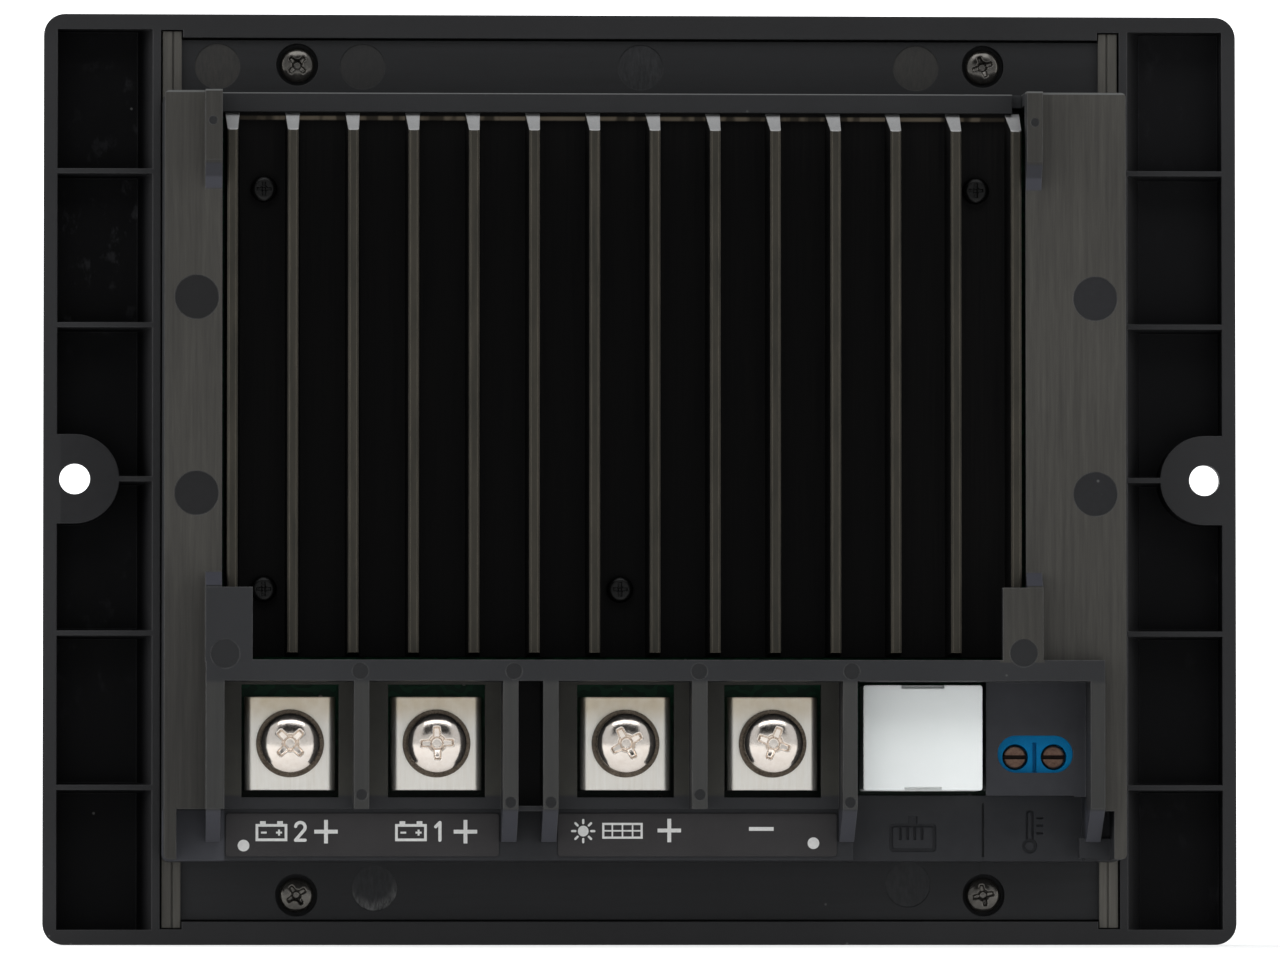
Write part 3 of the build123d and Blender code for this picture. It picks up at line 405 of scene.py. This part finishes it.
def heat_sink_material():
    s = Shade("black_anodised_extrusion")
    drawn = s.noise(2.6, 4, 0.6, stretch=(1, 0.02, 1), seed=3)
    col = s.mix(drawn, rgb(16, 16, 17, 0.62), rgb(27, 26, 25, 0.62))
    # painted light: the heat sink is painted lighter towards the right
    col = s.times(col, s.step(s.x, 20, 60, 1.0, 1.5))
    # painted light: the fin tips are painted much lighter than the channels, which stand in painted shade; a patchy
    # painted highlight runs along the tip edges
    tip = s.step(s.z, 20.0, 20.25)
    wear_and_sheen = s.noise(0.8, 5, 0.7, stretch=(1, 0.12, 1), seed=5)
    lit_tip_col = s.mix(wear_and_sheen, rgb(46, 45, 41, 0.92), rgb(60, 57, 51, 0.92))
    col = s.mix(tip, col, lit_tip_col)
    tip_edge_highlight = s.math("MULTIPLY", s.edges(0.26), s.step(s.z, 19.6, 20.0))
    col = s.mix(s.math("MULTIPLY", tip_edge_highlight, s.lin(wear_and_sheen, 0, 1, 0.55, 1.0)), col, rgb(112, 106, 95, 0.95))
    # sawn ends: light grey, partly the bare cut metal and partly a painted highlight as if lit from above, painted
    # lighter near the base than at the tips
    d = s.math("ADD", s.y, s.math("MULTIPLY", s.math("SUBTRACT", s.z, 11.0), 0.351))
    end = s.all(s.step(d, 57.45, 57.62), s.step(s.z, 11.05, 11.5))
    saw = s.noise(5.0, 2, 0.5, stretch=(1, 6, 1), seed=7)
    end_highlight_col = s.mix(saw, rgb(168, 168, 169, 1.0), rgb(196, 196, 195, 1.0))
    end_highlight_fade = s.step(s.z, 11.0, 20.4, 1.15, 0.78)
    col = s.mix(end, col, s.times(end_highlight_col, end_highlight_fade))
    # painted highlight: the bevelled top edge of the base is painted a light warm colour, in patches
    patchy_glint = s.step(s.noise(0.35, 2, 0.6, stretch=(1, 0.2, 1), seed=9), 0.25, 0.5)
    edge = s.all(s.band(s.y, 56.45, 57.05, 0.15), s.step(s.z, 11.4, 11.5, 1.0, 0.0), s.lin(patchy_glint, 0, 1, 0.25, 1.0))
    col = s.mix(edge, col, rgb(132, 121, 105, 0.9))
    rough = s.mixf(end, s.lin(drawn, 0, 1, 0.45, 0.6), 0.38)
    s.set(colour=col, rough=rough, spec=0.05, metal=s.math("MULTIPLY", end, 0.2)).relief(s.any(s.math("MULTIPLY", drawn, 0.6), s.math("MULTIPLY", s.all(saw, end), 1.0)), 0.012, edge=0.18)
    return s.m


# ---------------------------------------------------------------------------
# Metals and small parts
# ---------------------------------------------------------------------------
def plated(name, a, b, rough=(0.16, 0.30), stretch=(1, 0.08, 1), grain=3.0, relief=0.004, edge=0.25, metal=1.0):
    s = Shade(name)
    lay = s.noise(grain, 4, 0.62, stretch=stretch, seed=2)
    blot = s.noise(0.4, 3, 0.6, seed=5)
    col = s.mix(s.math("ADD", s.math("MULTIPLY", lay, 0.5), s.math("MULTIPLY", blot, 0.5)), a, b)
    s.set(colour=col, metal=metal, rough=s.lin(lay, 0, 1, *rough)).relief(lay, relief, edge=edge)
    return s.m


def clamp_material():
    """Nickel strip with drawn streaks, painted darker and warmer towards its upper edge as painted shade."""
    s = Shade("nickel_clamp")
    lay = s.noise(1.6, 4, 0.62, stretch=(1, 0.08, 1), seed=2)
    col = s.mix(lay, rgb(236, 231, 221), rgb(250, 247, 240))
    # painted shade: darker and warmer towards the upper edge
    upper_edge_shade = s.math("MULTIPLY", s.step(s.y, -40.5, -35.5), s.lin(s.noise(0.5, 3, seed=6), 0, 1, 0.7, 1.0))
    col = s.mix(upper_edge_shade, col, rgb(206, 192, 168))
    s.set(colour=col, metal=0.92, rough=s.lin(lay, 0, 1, 0.28, 0.40)).relief(lay, 0.0015, edge=0.3)
    return s.m


def tarnished_copper():
    s = Shade("coppered_screw")
    n = s.noise(1.8, 5, 0.7, seed=3)
    # painted shade: the slot across the screw heads is painted dark
    slot = s.band(s.y, -44.62, -43.98, 0.05)
    col = s.mix(n, rgb(88, 66, 57), rgb(136, 110, 95))
    col = s.mix(slot, col, rgb(30, 22, 19))
    s.set(colour=col, metal=0.85, rough=s.lin(n, 0, 1, 0.32, 0.55)).relief(n, 0.02, edge=0.12)
    return s.m


def moulded(name, a, b, rough=(0.35, 0.5), grain=4.0, relief=0.006, edge=0.2, spec=0.35, sss=0.0):
    s = Shade(name)
    n = s.noise(grain, 3, 0.6, seed=4)
    tone = s.noise(0.12, 3, 0.55, seed=6)
    col = s.mix(s.math("ADD", s.math("MULTIPLY", n, 0.35), s.math("MULTIPLY", tone, 0.65)), a, b)
    s.set(colour=col, rough=s.lin(n, 0, 1, *rough), spec=spec).relief(n, relief, edge=edge)
    if sss:
        s.set(sss=sss)
        s.b.inputs["Subsurface Radius"].default_value = (0.0012, 0.0012, 0.0012)
        s.b.inputs["Subsurface Scale"].default_value = 1.0
    return s.m


def board_material(name, seed=0.0):
    s = Shade(name)
    # traces: a warped grid of straight runs, plus vias with pads
    g = s.noise(0.22, 2, 0.5, seed=seed + 2, lo=0.0, hi=1.0)
    runs = s.math("PINGPONG", s.math("ADD", s.math("MULTIPLY", s.y, 1.0), s.math("MULTIPLY", g, 9.0)), 1.15)
    trace = s.step(runs, 0.62, 0.70)
    col = s.mix(trace, (0.0035, 0.052, 0.022, 1), (0.006, 0.085, 0.036, 1))
    v = s.cells(0.27, seed=seed)
    pad = s.step(v, 0.10, 0.115, 1.0, 0.0)
    hole = s.step(v, 0.045, 0.055, 1.0, 0.0)
    col = s.mix(pad, col, (0.34, 0.33, 0.30, 1))
    col = s.mix(hole, col, (0.006, 0.006, 0.006, 1))
    # painted shade: the board is painted near black below the terminal plates
    col = s.times(col, s.step(s.y, -47.5, -41.0, 0.20, 1.0))
    edge = s.step(s.math("ABSOLUTE", s.math("SUBTRACT", s.z, 3.0)), 0.70, 0.76)
    col = s.mix(edge, (0.03, 0.045, 0.012, 1), col)
    s.set(colour=col, rough=s.mixf(pad, 0.32, 0.42), spec=0.15).relief(s.any(s.math("MULTIPLY", trace, 0.6), pad), 0.03)
    return s.m


def glass_material(name, tint, alpha_trans=0.9, rough=0.04):
    s = Shade(name)
    n = s.noise(0.08, 2, seed=1)
    s.set(colour=tint, trans=alpha_trans, rough=s.lin(n, 0, 1, rough, rough + 0.03), ior=1.49).relief(edge=0.3)
    return s.m


M = {
    "bezel": bezel_material(),
    "case": case_material(),
    "sink": heat_sink_material(),
    "nickel": clamp_material(),
    "screw": plated("nickel_screw", rgb(226, 214, 202), rgb(246, 238, 230), rough=(0.11, 0.20), stretch=(1, 1, 1), grain=1.6, edge=0.12),
    # painted shade: the washers are painted dark brown, standing for the shadow under the screw heads
    "washer": plated("shadowed_nickel_washer", rgb(66, 58, 51), rgb(112, 102, 90), rough=(0.20, 0.34), stretch=(1, 1, 1), grain=2.4, edge=0.15),
    "zinc": plated("zinc_steel", rgb(150, 150, 146), rgb(188, 188, 182), rough=(0.28, 0.42), stretch=(1, 1, 1), edge=0.12),
    "black_steel": plated("black_oxide_steel", rgb(70, 68, 65), rgb(112, 109, 104), rough=(0.12, 0.24), stretch=(1, 1, 1), grain=1.2, edge=0.2, metal=0.9),
    "fixing_black": plated("blackened_sink_screw", rgb(9, 9, 9), rgb(20, 20, 19), rough=(0.25, 0.4), stretch=(1, 1, 1), edge=0.2, metal=0.6),
    "copper": tarnished_copper(),
    "gold": plated("gilt_contact", rgb(214, 172, 96), rgb(238, 202, 128), rough=(0.2, 0.3), edge=0.05),
    "shunt": plated("shunt_bar", rgb(170, 110, 78), rgb(205, 150, 112), rough=(0.3, 0.45), edge=0.2),
    "white": moulded("white_moulding", rgb(245, 250, 248), rgb(250, 253, 252), rough=(0.34, 0.44), relief=0.003, edge=0.35, sss=0.06),
    "blue": moulded("blue_moulding", rgb(0, 108, 164), rgb(0, 132, 190), rough=(0.30, 0.42), edge=0.2, spec=0.08),
    "black_gloss": moulded("black_package", rgb(34, 34, 36), rgb(44, 44, 46), rough=(0.4, 0.55)),
    "switch": moulded("switch_moulding", rgb(38, 38, 40), rgb(50, 50, 52)),
    "keycap": moulded("keycap_moulding", rgb(98, 101, 106), rgb(112, 115, 120), rough=(0.42, 0.55), grain=7.0, relief=0.012, edge=0.4),
    "tray": moulded("tray_moulding", rgb(220, 220, 216), rgb(230, 230, 226)),
    "tongue": moulded("tongue_moulding", rgb(222, 222, 218), rgb(234, 234, 230)),
    "cap": moulded("capacitor_sleeve", rgb(40, 44, 66), rgb(54, 58, 84), rough=(0.25, 0.35)),
    "pad": moulded("thermal_pad", rgb(150, 156, 166), rgb(172, 178, 186), rough=(0.6, 0.75), relief=0.02),
    "lamp": glass_material("lamp_epoxy", (0.80, 0.88, 0.80, 1), 0.75, 0.10),
    "window": glass_material("clear_window_acrylic", (0.90, 0.93, 0.93, 1), 0.96, 0.03),
    "board": board_material("green_board"),
}


def lcd_material():
    s = Shade("lcd_glass_layers")
    weave = s.math("MULTIPLY", s.step(s.math("PINGPONG", s.x, 0.15), 0.12, 0.14), 0.3)
    col = s.mix(s.noise(0.05, 3, seed=2), rgb(124, 138, 118), rgb(136, 150, 128))
    col = s.mix(weave, col, rgb(116, 130, 112))
    s.set(colour=col, rough=s.lin(s.noise(0.3, 2, seed=4), 0, 1, 0.10, 0.18), spec=0.5).relief(edge=0.2)
    return s.m


def marking_plate_material():
    s = Shade("marking_plate_print")
    h = spark(s, 7.0)
    col = s.mix(s.noise(0.12, 4, 0.6, seed=3), rgb(52, 50, 51, 0.72), rgb(59, 57, 58, 0.72))
    s.set(colour=col, rough=s.lin(h, 0, 1, 0.5, 0.66), spec=0.28).relief(h, 0.010, edge=0.12)
    return s.m


def overlay_material():
    s = Shade("overlay_print")
    grain = s.noise(9.0, 2, 0.6, seed=2)
    col = s.mix(s.noise(0.06, 3, seed=5), rgb(60, 64, 70), rgb(66, 70, 76))
    line = s.any(
        s.all(s.rect(-62.8, 62.8, -52.8, 42.8, 0.05), s.inv(s.rect(-62.3, 62.3, -52.3, 42.3, 0.05))),
        s.rect(-62.3, 62.3, -28.35, -28.0, 0.04),
    )
    col = s.mix(line, col, rgb(178, 182, 186))
    s.set(colour=col, rough=s.lin(grain, 0, 1, 0.42, 0.58), spec=0.4).relief(grain, 0.008, edge=0.1)
    return s.m


def ink_material(name, a, b, rough=0.6):
    s = Shade(name)
    wear = s.noise(2.4, 4, 0.7, seed=4)
    col = s.mix(wear, a, b)
    s.set(colour=col, rough=s.lin(wear, 0, 1, rough - 0.08, rough + 0.08), spec=0.3).relief(wear, 0.004)
    return s.m


M["lcd"] = lcd_material()
M["plate"] = marking_plate_material()
M["overlay"] = overlay_material()
M["ink"] = ink_material("white_ink", rgb(205, 205, 203), rgb(222, 222, 220))
M["segment"] = ink_material("lcd_segment", rgb(74, 84, 72), rgb(84, 94, 80), 0.3)

CAD_LOOKS = {
    "front_bezel": "bezel", "rear_case": "case", "heat_sink": "sink", "case_screws": "black_steel", "heat_sink_screws": "fixing_black",
    "heat_sink_spacers": "zinc", "front_overlay": "overlay", "display_window": "window", "display_tray": "tray", "display_glass": "lcd",
    "display_board": "board", "display_board_screws": "zinc", "button_switches": "switch", "status_lamps": "lamp", "charge_port_shell": "zinc",
    "charge_port_tongue": "tongue", "main_board": "board", "main_board_screws": "zinc", "board_link_connector": "black_gloss",
    "control_chips": "black_gloss", "power_transistors": "black_gloss", "thermal_strip": "pad", "capacitors": "cap", "current_shunt": "shunt",
    "battery_marking_plate": "plate", "array_marking_plate": "plate", "terminal_nuts": "zinc", "remote_socket": "white",
    "remote_socket_contacts": "gold", "sensor_terminal_block": "blue", "sensor_pins": "zinc",
}
for name in N:
    if name.endswith("_terminal"):
        CAD_LOOKS[name] = "nickel"
    elif name.endswith("_washers"):
        CAD_LOOKS[name] = "washer"
    elif name.startswith("sensor_") and name.endswith("_screw"):
        CAD_LOOKS[name] = "copper"
    elif name.endswith("_cage"):
        CAD_LOOKS[name] = "zinc"
    elif name.endswith("_plunger"):
        CAD_LOOKS[name] = "switch"
    elif name.endswith("_button"):
        CAD_LOOKS[name] = "keycap"
    elif name.endswith("_screw"):
        CAD_LOOKS[name] = "screw"
for name, look in CAD_LOOKS.items():
    o = N[name]
    o.data.materials.clear()
    o.data.materials.append(M[look])


# ---------------------------------------------------------------------------
# Pieces made here
# ---------------------------------------------------------------------------
def piece(name, bm, mat, body=ROOT, smooth=False):
    me = bpy.data.meshes.new(name)
    bmesh.ops.recalc_face_normals(bm, faces=bm.faces)
    bm.to_mesh(me)
    bm.free()
    if smooth:
        me.polygons.foreach_set("use_smooth", [True] * len(me.polygons))
    o = bpy.data.objects.new(name, me)
    bpy.context.scene.collection.objects.link(o)
    me.materials.append(mat)
    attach(o, body)
    return o


def smoothstep(a, b, v):
    t = min(max((v - a) / (b - a), 0.0), 1.0)
    return t * t * (3 - 2 * t)


def pan_screw(bm, cx, cy, z0, R, T, turn, shank_r, z_end, k=1.0, rings=44, spokes=128):
    """A pan-head screw: rolled head with a cross recess, shank with rolled thread ridges. k scales the recess."""
    side = 0.62 * T

    def top(r):
        return z0 + side + (T - side) * max(0.0, 1 - (r / R) ** 2.3) ** 0.62

    c, sn = math.cos(turn), math.sin(turn)

    def cut(x, y):
        u, v = (c * x + sn * y) / k, (-sn * x + c * y) / k
        deep = 0.0
        for p, q in ((abs(u), abs(v)), (abs(v), abs(u))):
            w = 0.56 - 0.06 * p
            reach = smoothstep(2.72, 2.25, p) if p < 2.72 else 0.0
            deep = max(deep, 1.75 * reach * smoothstep(w + 0.14, w - 0.06, q) * (1 - 0.22 * p))
        deep = max(deep, 1.9 * smoothstep(1.45, 0.75, math.hypot(u, v)))
        return deep * k

    rows = []
    for i in range(rings + 1):
        r = R * 0.992 * (i / rings) ** 0.92
        row = []
        for j in range(spokes):
            a = 2 * math.pi * j / spokes
            x, y = r * math.cos(a), r * math.sin(a)
            row.append(bm.verts.new(P(cx + x, cy + y, top(r) - cut(x, y))))
            if i == 0:
                break
        rows.append(row)
    profile = [(R, z0 + side + 0.06), (R, z0 + 0.2), (R - 0.15, z0), (shank_r + 0.05, z0), (shank_r, z0 - 0.1)]
    z = z0 - 0.5
    while z > z_end + 0.6:
        profile += [(shank_r, z), (shank_r - 0.28 * k, z - 0.4)]
        z -= 0.8
    profile += [(shank_r - 0.3 * k, z_end), (0.02, z_end)]
    for r, zz in profile:
        rows.append([bm.verts.new(P(cx + r * math.cos(2 * math.pi * j / spokes), cy + r * math.sin(2 * math.pi * j / spokes), zz)) for j in range(spokes)])
    for j in range(spokes):
        bm.faces.new((rows[0][0], rows[1][j], rows[1][(j + 1) % spokes]))
    for a, b in zip(rows[1:], rows[2:]):
        for j in range(spokes):
            bm.faces.new((a[j], b[j], b[(j + 1) % spokes], a[(j + 1) % spokes]))
    bm.faces.new(rows[-1])


TERMS = {"battery_2": (-55.9, 45), "battery_1": (-32.8, 2), "array": (-2.95, 28), "negative": (20.3, -20)}
TERM_Y, CLAMP_Z = -42.2, 12.0
for t, (cx, deg) in TERMS.items():
    bm = bmesh.new()
    pan_screw(bm, cx, TERM_Y, CLAMP_Z + 2.3, 4.6, 3.3, math.radians(deg), 2.5, 5.0)
    o = piece(f"{t}_pan_screw", bm, M["screw"], f"{t}_screw", smooth=True)
    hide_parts(f"{t}_screw")

bm = bmesh.new()
for (x, y), deg in zip(((-54.7, 66.1), (54.7, 66.1), (-54.7, -66.1), (54.7, -66.1)), (45, 20, 33, 12)):
    pan_screw(bm, x, y, -3.5, 2.75, 2.0, math.radians(deg), 1.43, -8.0, k=0.66, rings=26, spokes=72)
o = piece("case_pan_screws", bm, M["black_steel"], ROOT, smooth=True)
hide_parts("case_screws")


# -- strokes and outlines, as thin raised ink ----------------------------------
def solid_poly(bm, pts, z0, z1):
    """A closed outline in x and y, as a thin prism from z0 to z1."""
    a = [bm.verts.new(P(x, y, z0)) for x, y in pts]
    b = [bm.verts.new(P(x, y, z1)) for x, y in pts]
    bm.faces.new(a)
    bm.faces.new(b)
    n = len(pts)
    for k in range(n):
        bm.faces.new((a[k], a[(k + 1) % n], b[(k + 1) % n], b[k]))


def stroke(bm, pts, w, z0, z1, caps=8):
    """A pen line of width w through pts, with round ends: one capsule per run."""
    lift = 0.0015 if z1 > z0 else -0.0015
    for i, ((x0, y0), (x1, y1)) in enumerate(zip(pts, pts[1:])):
        a = math.atan2(y1 - y0, x1 - x0)
        out = []
        for k in range(caps + 1):
            q = a + math.pi / 2 + math.pi * k / caps
            out.append((x0 + w / 2 * math.cos(q), y0 + w / 2 * math.sin(q)))
        for k in range(caps + 1):
            q = a - math.pi / 2 + math.pi * k / caps
            out.append((x1 + w / 2 * math.cos(q), y1 + w / 2 * math.sin(q)))
        solid_poly(bm, out, z0 - i * lift * 0.1, z1 + i * lift)


def bar(bm, x0, x1, y0, y1, z0, z1):
    solid_poly(bm, [(x0, y0), (x1, y0), (x1, y1), (x0, y1)], z0, z1)


def round_dot(bm, cx, cy, r, z0, z1, n=28):
    solid_poly(bm, [(cx + r * math.cos(2 * math.pi * k / n), cy + r * math.sin(2 * math.pi * k / n)) for k in range(n)], z0, z1)


def outline(bm, x0, x1, y0, y1, w, z0, z1):
    bar(bm, x0, x1, y1 - w, y1, z0, z1)
    bar(bm, x0, x1, y0, y0 + w, z0, z1)
    bar(bm, x0, x0 + w, y0 + w, y1 - w, z0, z1)
    bar(bm, x1 - w, x1, y0 + w, y1 - w, z0, z1)


def plus(bm, cx, cy, size, w, z0, z1):
    h = size / 2
    solid_poly(bm, [(cx - w / 2, cy + h), (cx - w / 2, cy + w / 2), (cx - h, cy + w / 2), (cx - h, cy - w / 2), (cx - w / 2, cy - w / 2), (cx - w / 2, cy - h),
                    (cx + w / 2, cy - h), (cx + w / 2, cy - w / 2), (cx + h, cy - w / 2), (cx + h, cy + w / 2), (cx + w / 2, cy + w / 2), (cx + w / 2, cy + h)], z0, z1)


def two(bm, x, y, h, w, z0, z1):
    r = h * 0.27
    pts = [(x + r + r * math.cos(math.radians(q)), y + h - r + r * math.sin(math.radians(q))) for q in range(170, -50, -20)]
    pts += [(x, y), (x + 2 * r, y)]
    stroke(bm, pts, w, z0, z1)


def one(bm, x, y, h, w, z0, z1):
    stroke(bm, [(x, y + h * 0.76), (x + h * 0.24, y + h), (x + h * 0.24, y)], w, z0, z1)


INK0, INK1 = 11.80, 11.83


def battery_mark(bm, x, y, digit):
    outline(bm, x, x + 5.0, y, y + 2.7, 0.42, INK0, INK1)
    bar(bm, x + 0.7, x + 1.6, y + 2.7, y + 3.15, INK0, INK1)
    bar(bm, x + 3.4, x + 4.3, y + 2.7, y + 3.15, INK0, INK1)
    bar(bm, x + 0.85, x + 1.75, y + 1.2, y + 1.5, INK0, INK1)
    plus(bm, x + 3.70, y + 1.35, 0.95, 0.3, INK0, INK1)
    if digit == 2:
        two(bm, x + 6.3, y + 0.15, 2.8, 0.5, INK0, INK1)
    else:
        one(bm, x + 6.4, y + 0.15, 2.8, 0.5, INK0, INK1)
    plus(bm, x + 11.1, y + 1.5, 3.7, 0.6, INK0, INK1)


bm = bmesh.new()
battery_mark(bm, -61.3, -57.6, 2)
battery_mark(bm, -39.3, -57.6, 1)
round_dot(bm, -63.2, -58.3, 0.92, INK0, INK1)
o = piece("battery_ink", bm, M["ink"])

bm = bmesh.new()
cx, cy = -9.6, -56.0
round_dot(bm, cx, cy, 0.85, INK0, INK1)
for k in range(8):
    q = math.pi * k / 4
    stroke(bm, [(cx + 1.25 * math.cos(q), cy + 1.25 * math.sin(q)), (cx + 1.75 * math.cos(q), cy + 1.75 * math.sin(q))], 0.36, INK0, INK1)
x0, y0 = -6.6, -57.2
outline(bm, x0, x0 + 6.4, y0, y0 + 2.5, 0.34, INK0, INK1)
for k in (1, 2, 3):
    bar(bm, x0 + 1.6 * k - 0.12, x0 + 1.6 * k + 0.12, y0 + 0.34, y0 + 2.16, INK0, INK1)
bar(bm, x0 + 0.34, x0 + 6.06, y0 + 1.13, y0 + 1.37, INK0, INK1 + 0.002)
plus(bm, 4.0, -55.9, 3.7, 0.6, INK0, INK1)
bar(bm, 16.6, 20.5, -55.95, -55.35, INK0, INK1)
round_dot(bm, 26.8, -57.9, 0.92, INK0, INK1)
o = piece("array_ink", bm, M["ink"])

# -- liquid-crystal segments and front legends ---------------------------------
G0, G1 = -6.505, -6.53


def seven(bm, x, y, h, w, t, on, z0, z1):
    """One seven-bar digit drawn as it reads from the front, so x runs the other way."""
    seg = {"a": (0, h, w, h), "g": (0, h / 2, w, h / 2), "d": (0, 0, w, 0), "f": (0, h / 2, 0, h), "b": (w, h / 2, w, h), "e": (0, 0, 0, h / 2), "c": (w, 0, w, h / 2)}
    for k in on:
        x0, y0, x1, y1 = seg[k]
        L = math.hypot(x1 - x0, y1 - y0)
        ux, uy = (x1 - x0) / L, (y1 - y0) / L
        a, b = 0.10 * L, 0.90 * L
        pts = [(a, 0), (a + t / 2, t / 2), (b - t / 2, t / 2), (b, 0), (b - t / 2, -t / 2), (a + t / 2, -t / 2)]
        solid_poly(bm, [(x - (x0 + ux * p - uy * q), y + (y0 + uy * p + ux * q)) for p, q in pts], z0, z1)


bm = bmesh.new()
for k, on in enumerate(("bc", "abged", "abcdefg"[:0] + "abcdg")):
    seven(bm, 16.0 - 12.5 * k, 5.5, 15.0, 8.0, 1.7, on, G0, G1)
round_dot(bm, -6.5, 5.6, 0.9, G0, G1)
outline(bm, 22.5, 33.5, 6.5, 15.0, 0.7, G0, G1)
bar(bm, 24.0, 26.0, 15.0, 16.3, G0, G1)
bar(bm, 30.0, 32.0, 15.0, 16.3, G0, G1)
for k in range(4):
    bar(bm, 24.0, 32.0, 7.8 + 1.75 * k, 8.9 + 1.75 * k, G0, G1)
for k in range(7):
    bar(bm, 30.0 - 9.0 * k, 33.0 - 9.0 * k, 28.0, 29.2, G0, G1)
outline(bm, -33.5, -24.0, 7.5, 13.5, 0.7, G0, G1)
bar(bm, -29.1, -28.4, 8.2, 12.8, G0, G1)
piece("display_segments", bm, M["segment"])

F0, F1 = -9.45, -9.47
bm = bmesh.new()
for cx in (9.0, 0.0, -9.0):
    stroke(bm, [(cx - 1.6, -24.4), (cx + 1.6, -24.4)], 0.45, F0, F1)
# over the buttons: up arrow in a ring, a cell, two cells, a dial
cx, cy = 44.0, -31.2
stroke(bm, [(cx, cy - 1.4), (cx, cy + 1.4), (cx - 1.0, cy + 0.4)], 0.4, F0, F1)
stroke(bm, [(cx, cy + 1.4), (cx + 1.0, cy + 0.4)], 0.4, F0, F1)
outline(bm, 22.0 - 2.4, 22.0 + 2.4, -32.4, -30.2, 0.35, F0, F1)
bar(bm, 22.0 - 1.7, 22.0 - 0.8, -30.2, -29.8, F0, F1)
bar(bm, 22.0 + 0.8, 22.0 + 1.7, -30.2, -29.8, F0, F1)
for q in (-2.0, 2.0):
    outline(bm, q - 1.7, q + 1.7, -32.2, -30.2, 0.35, F0, F1)
stroke(bm, [(-22.0 + 1.9 * math.cos(math.radians(q)), -32.2 + 1.9 * math.sin(math.radians(q))) for q in range(0, 181, 15)], 0.35, F0, F1)
stroke(bm, [(-22.0, -32.2), (-21.0, -31.0)], 0.35, F0, F1)
# charge port: a plain three-branched mark
cx, cy = -48.0, -31.6
stroke(bm, [(cx - 3.0, cy), (cx + 3.0, cy)], 0.4, F0, F1)
stroke(bm, [(cx - 0.6, cy), (cx + 0.6, cy + 1.1), (cx + 1.8, cy + 1.1)], 0.4, F0, F1)
stroke(bm, [(cx - 1.4, cy), (cx - 0.2, cy - 1.1), (cx + 0.8, cy - 1.1)], 0.4, F0, F1)
round_dot(bm, cx - 3.2, cy, 0.7, F0, F1)
piece("front_legends", bm, M["ink"])

# ---------------------------------------------------------------------------
# Stage, light and camera
# ---------------------------------------------------------------------------
FLOOR_Z = cad_lo.z


def stage_plane(name, verts, mat):
    me = bpy.data.meshes.new(name)
    me.from_pydata(verts, [], [tuple(range(len(verts)))])
    o = bpy.data.objects.new(name, me)
    bpy.context.scene.collection.objects.link(o)
    me.materials.append(mat)
    return o


s = Shade("pale_floor")
s.set(colour=s.mix(s.noise(0.01, 3, seed=1), (0.80, 0.80, 0.80, 1), (0.83, 0.83, 0.83, 1)), rough=0.7, spec=0.2, emit=(1, 1, 1, 1), glow=0.28)
r = 1.3
stage_plane("floor", [(-r, -r, FLOOR_Z), (r, -r, FLOOR_Z), (r, r, FLOOR_Z), (-r, r, FLOOR_Z)], s.m)

D = 1.8
AZ, EL = math.radians(2.46), math.radians(-2.2)
away = Vector((math.sin(AZ) * math.cos(EL), math.cos(AZ) * math.cos(EL), math.sin(EL)))
target = Vector((0.00012, 0, -0.00006))
cam_data = bpy.data.cameras.new("camera")
cam = bpy.data.objects.new("camera", cam_data)
bpy.context.scene.collection.objects.link(cam)
cam_data.lens, cam_data.sensor_width = 318.1, 36.0
cam_data.clip_start, cam_data.clip_end = 0.05, 30.0
cam.location = target + away * D
cam.rotation_mode = "QUATERNION"
cam.rotation_quaternion = (-away).to_track_quat("-Z", "Y")
bpy.context.scene.camera = cam

# a white card far behind the object, square to the camera
s = Shade("white_card")
s.set(colour=(1, 1, 1, 1), rough=0.9, spec=0.0, emit=(1, 1, 1, 1), glow=1.05)
centre = target - away * 3.6
right = away.cross(Vector((0, 0, 1))).normalized()
up = right.cross(away).normalized()
w, h = 0.62, 0.50
stage_plane("card", [tuple(centre + right * a + up * b) for a, b in ((-w, -h), (w, -h), (w, h), (-w, h))], s.m)

# a dark flag high in front: the metal parts reflect it, and the camera never sees it
s = Shade("dark_flag")
s.set(colour=s.mix(s.noise(0.01, 2), (0.012, 0.012, 0.012, 1), (0.018, 0.017, 0.016, 1)), rough=0.9, spec=0.0)
fc = Vector((0.0, 1.785, 0.65))
fn = fc.normalized()
fr = fn.cross(Vector((0, 0, 1))).normalized()
fu = fr.cross(fn).normalized()
flag = stage_plane("flag", [tuple(fc + fr * a + fu * b) for a, b in ((-0.70, -0.30), (0.70, -0.30), (0.70, 0.32), (-0.70, 0.32))], s.m)
flag.visible_camera = False

world = bpy.data.worlds.new("studio")
bpy.context.scene.world = world
world.use_nodes = True
bg = world.node_tree.nodes["Background"]
bg.inputs[0].default_value = (0.96, 0.98, 1.0, 1)
bg.inputs[1].default_value = 0.62


def area(name, place, size, watts, colour=(1, 1, 1), look=(0, 0, 0)):
    d = bpy.data.lights.new(name, "AREA")
    d.shape, d.size, d.size_y, d.energy, d.color = "RECTANGLE", size[0], size[1], watts, colour
    o = bpy.data.objects.new(name, d)
    bpy.context.scene.collection.objects.link(o)
    o.location = place
    o.rotation_mode = "QUATERNION"
    o.rotation_quaternion = (Vector(look) - Vector(place)).to_track_quat("-Z", "Y")
    o.visible_camera = False
    return o


area("left_bank", (0.85, 0.22, 0.10), (0.7, 0.9), 5.0, (1.0, 0.99, 0.97))
area("right_bank", (-0.85, 0.22, 0.10), (0.7, 0.9), 3.6, (1.0, 0.99, 0.97))
area("top_bank", (0.0, 0.84, 0.80), (1.0, 0.46), 2.6, (0.97, 0.98, 1.0))
area("front_fill", (0.3, -1.1, 0.6), (0.9, 0.9), 7.0)

vs = bpy.context.scene.view_settings
vs.view_transform = "Standard"
vs.look = "None"
vs.exposure, vs.gamma = 0.0, 1.0
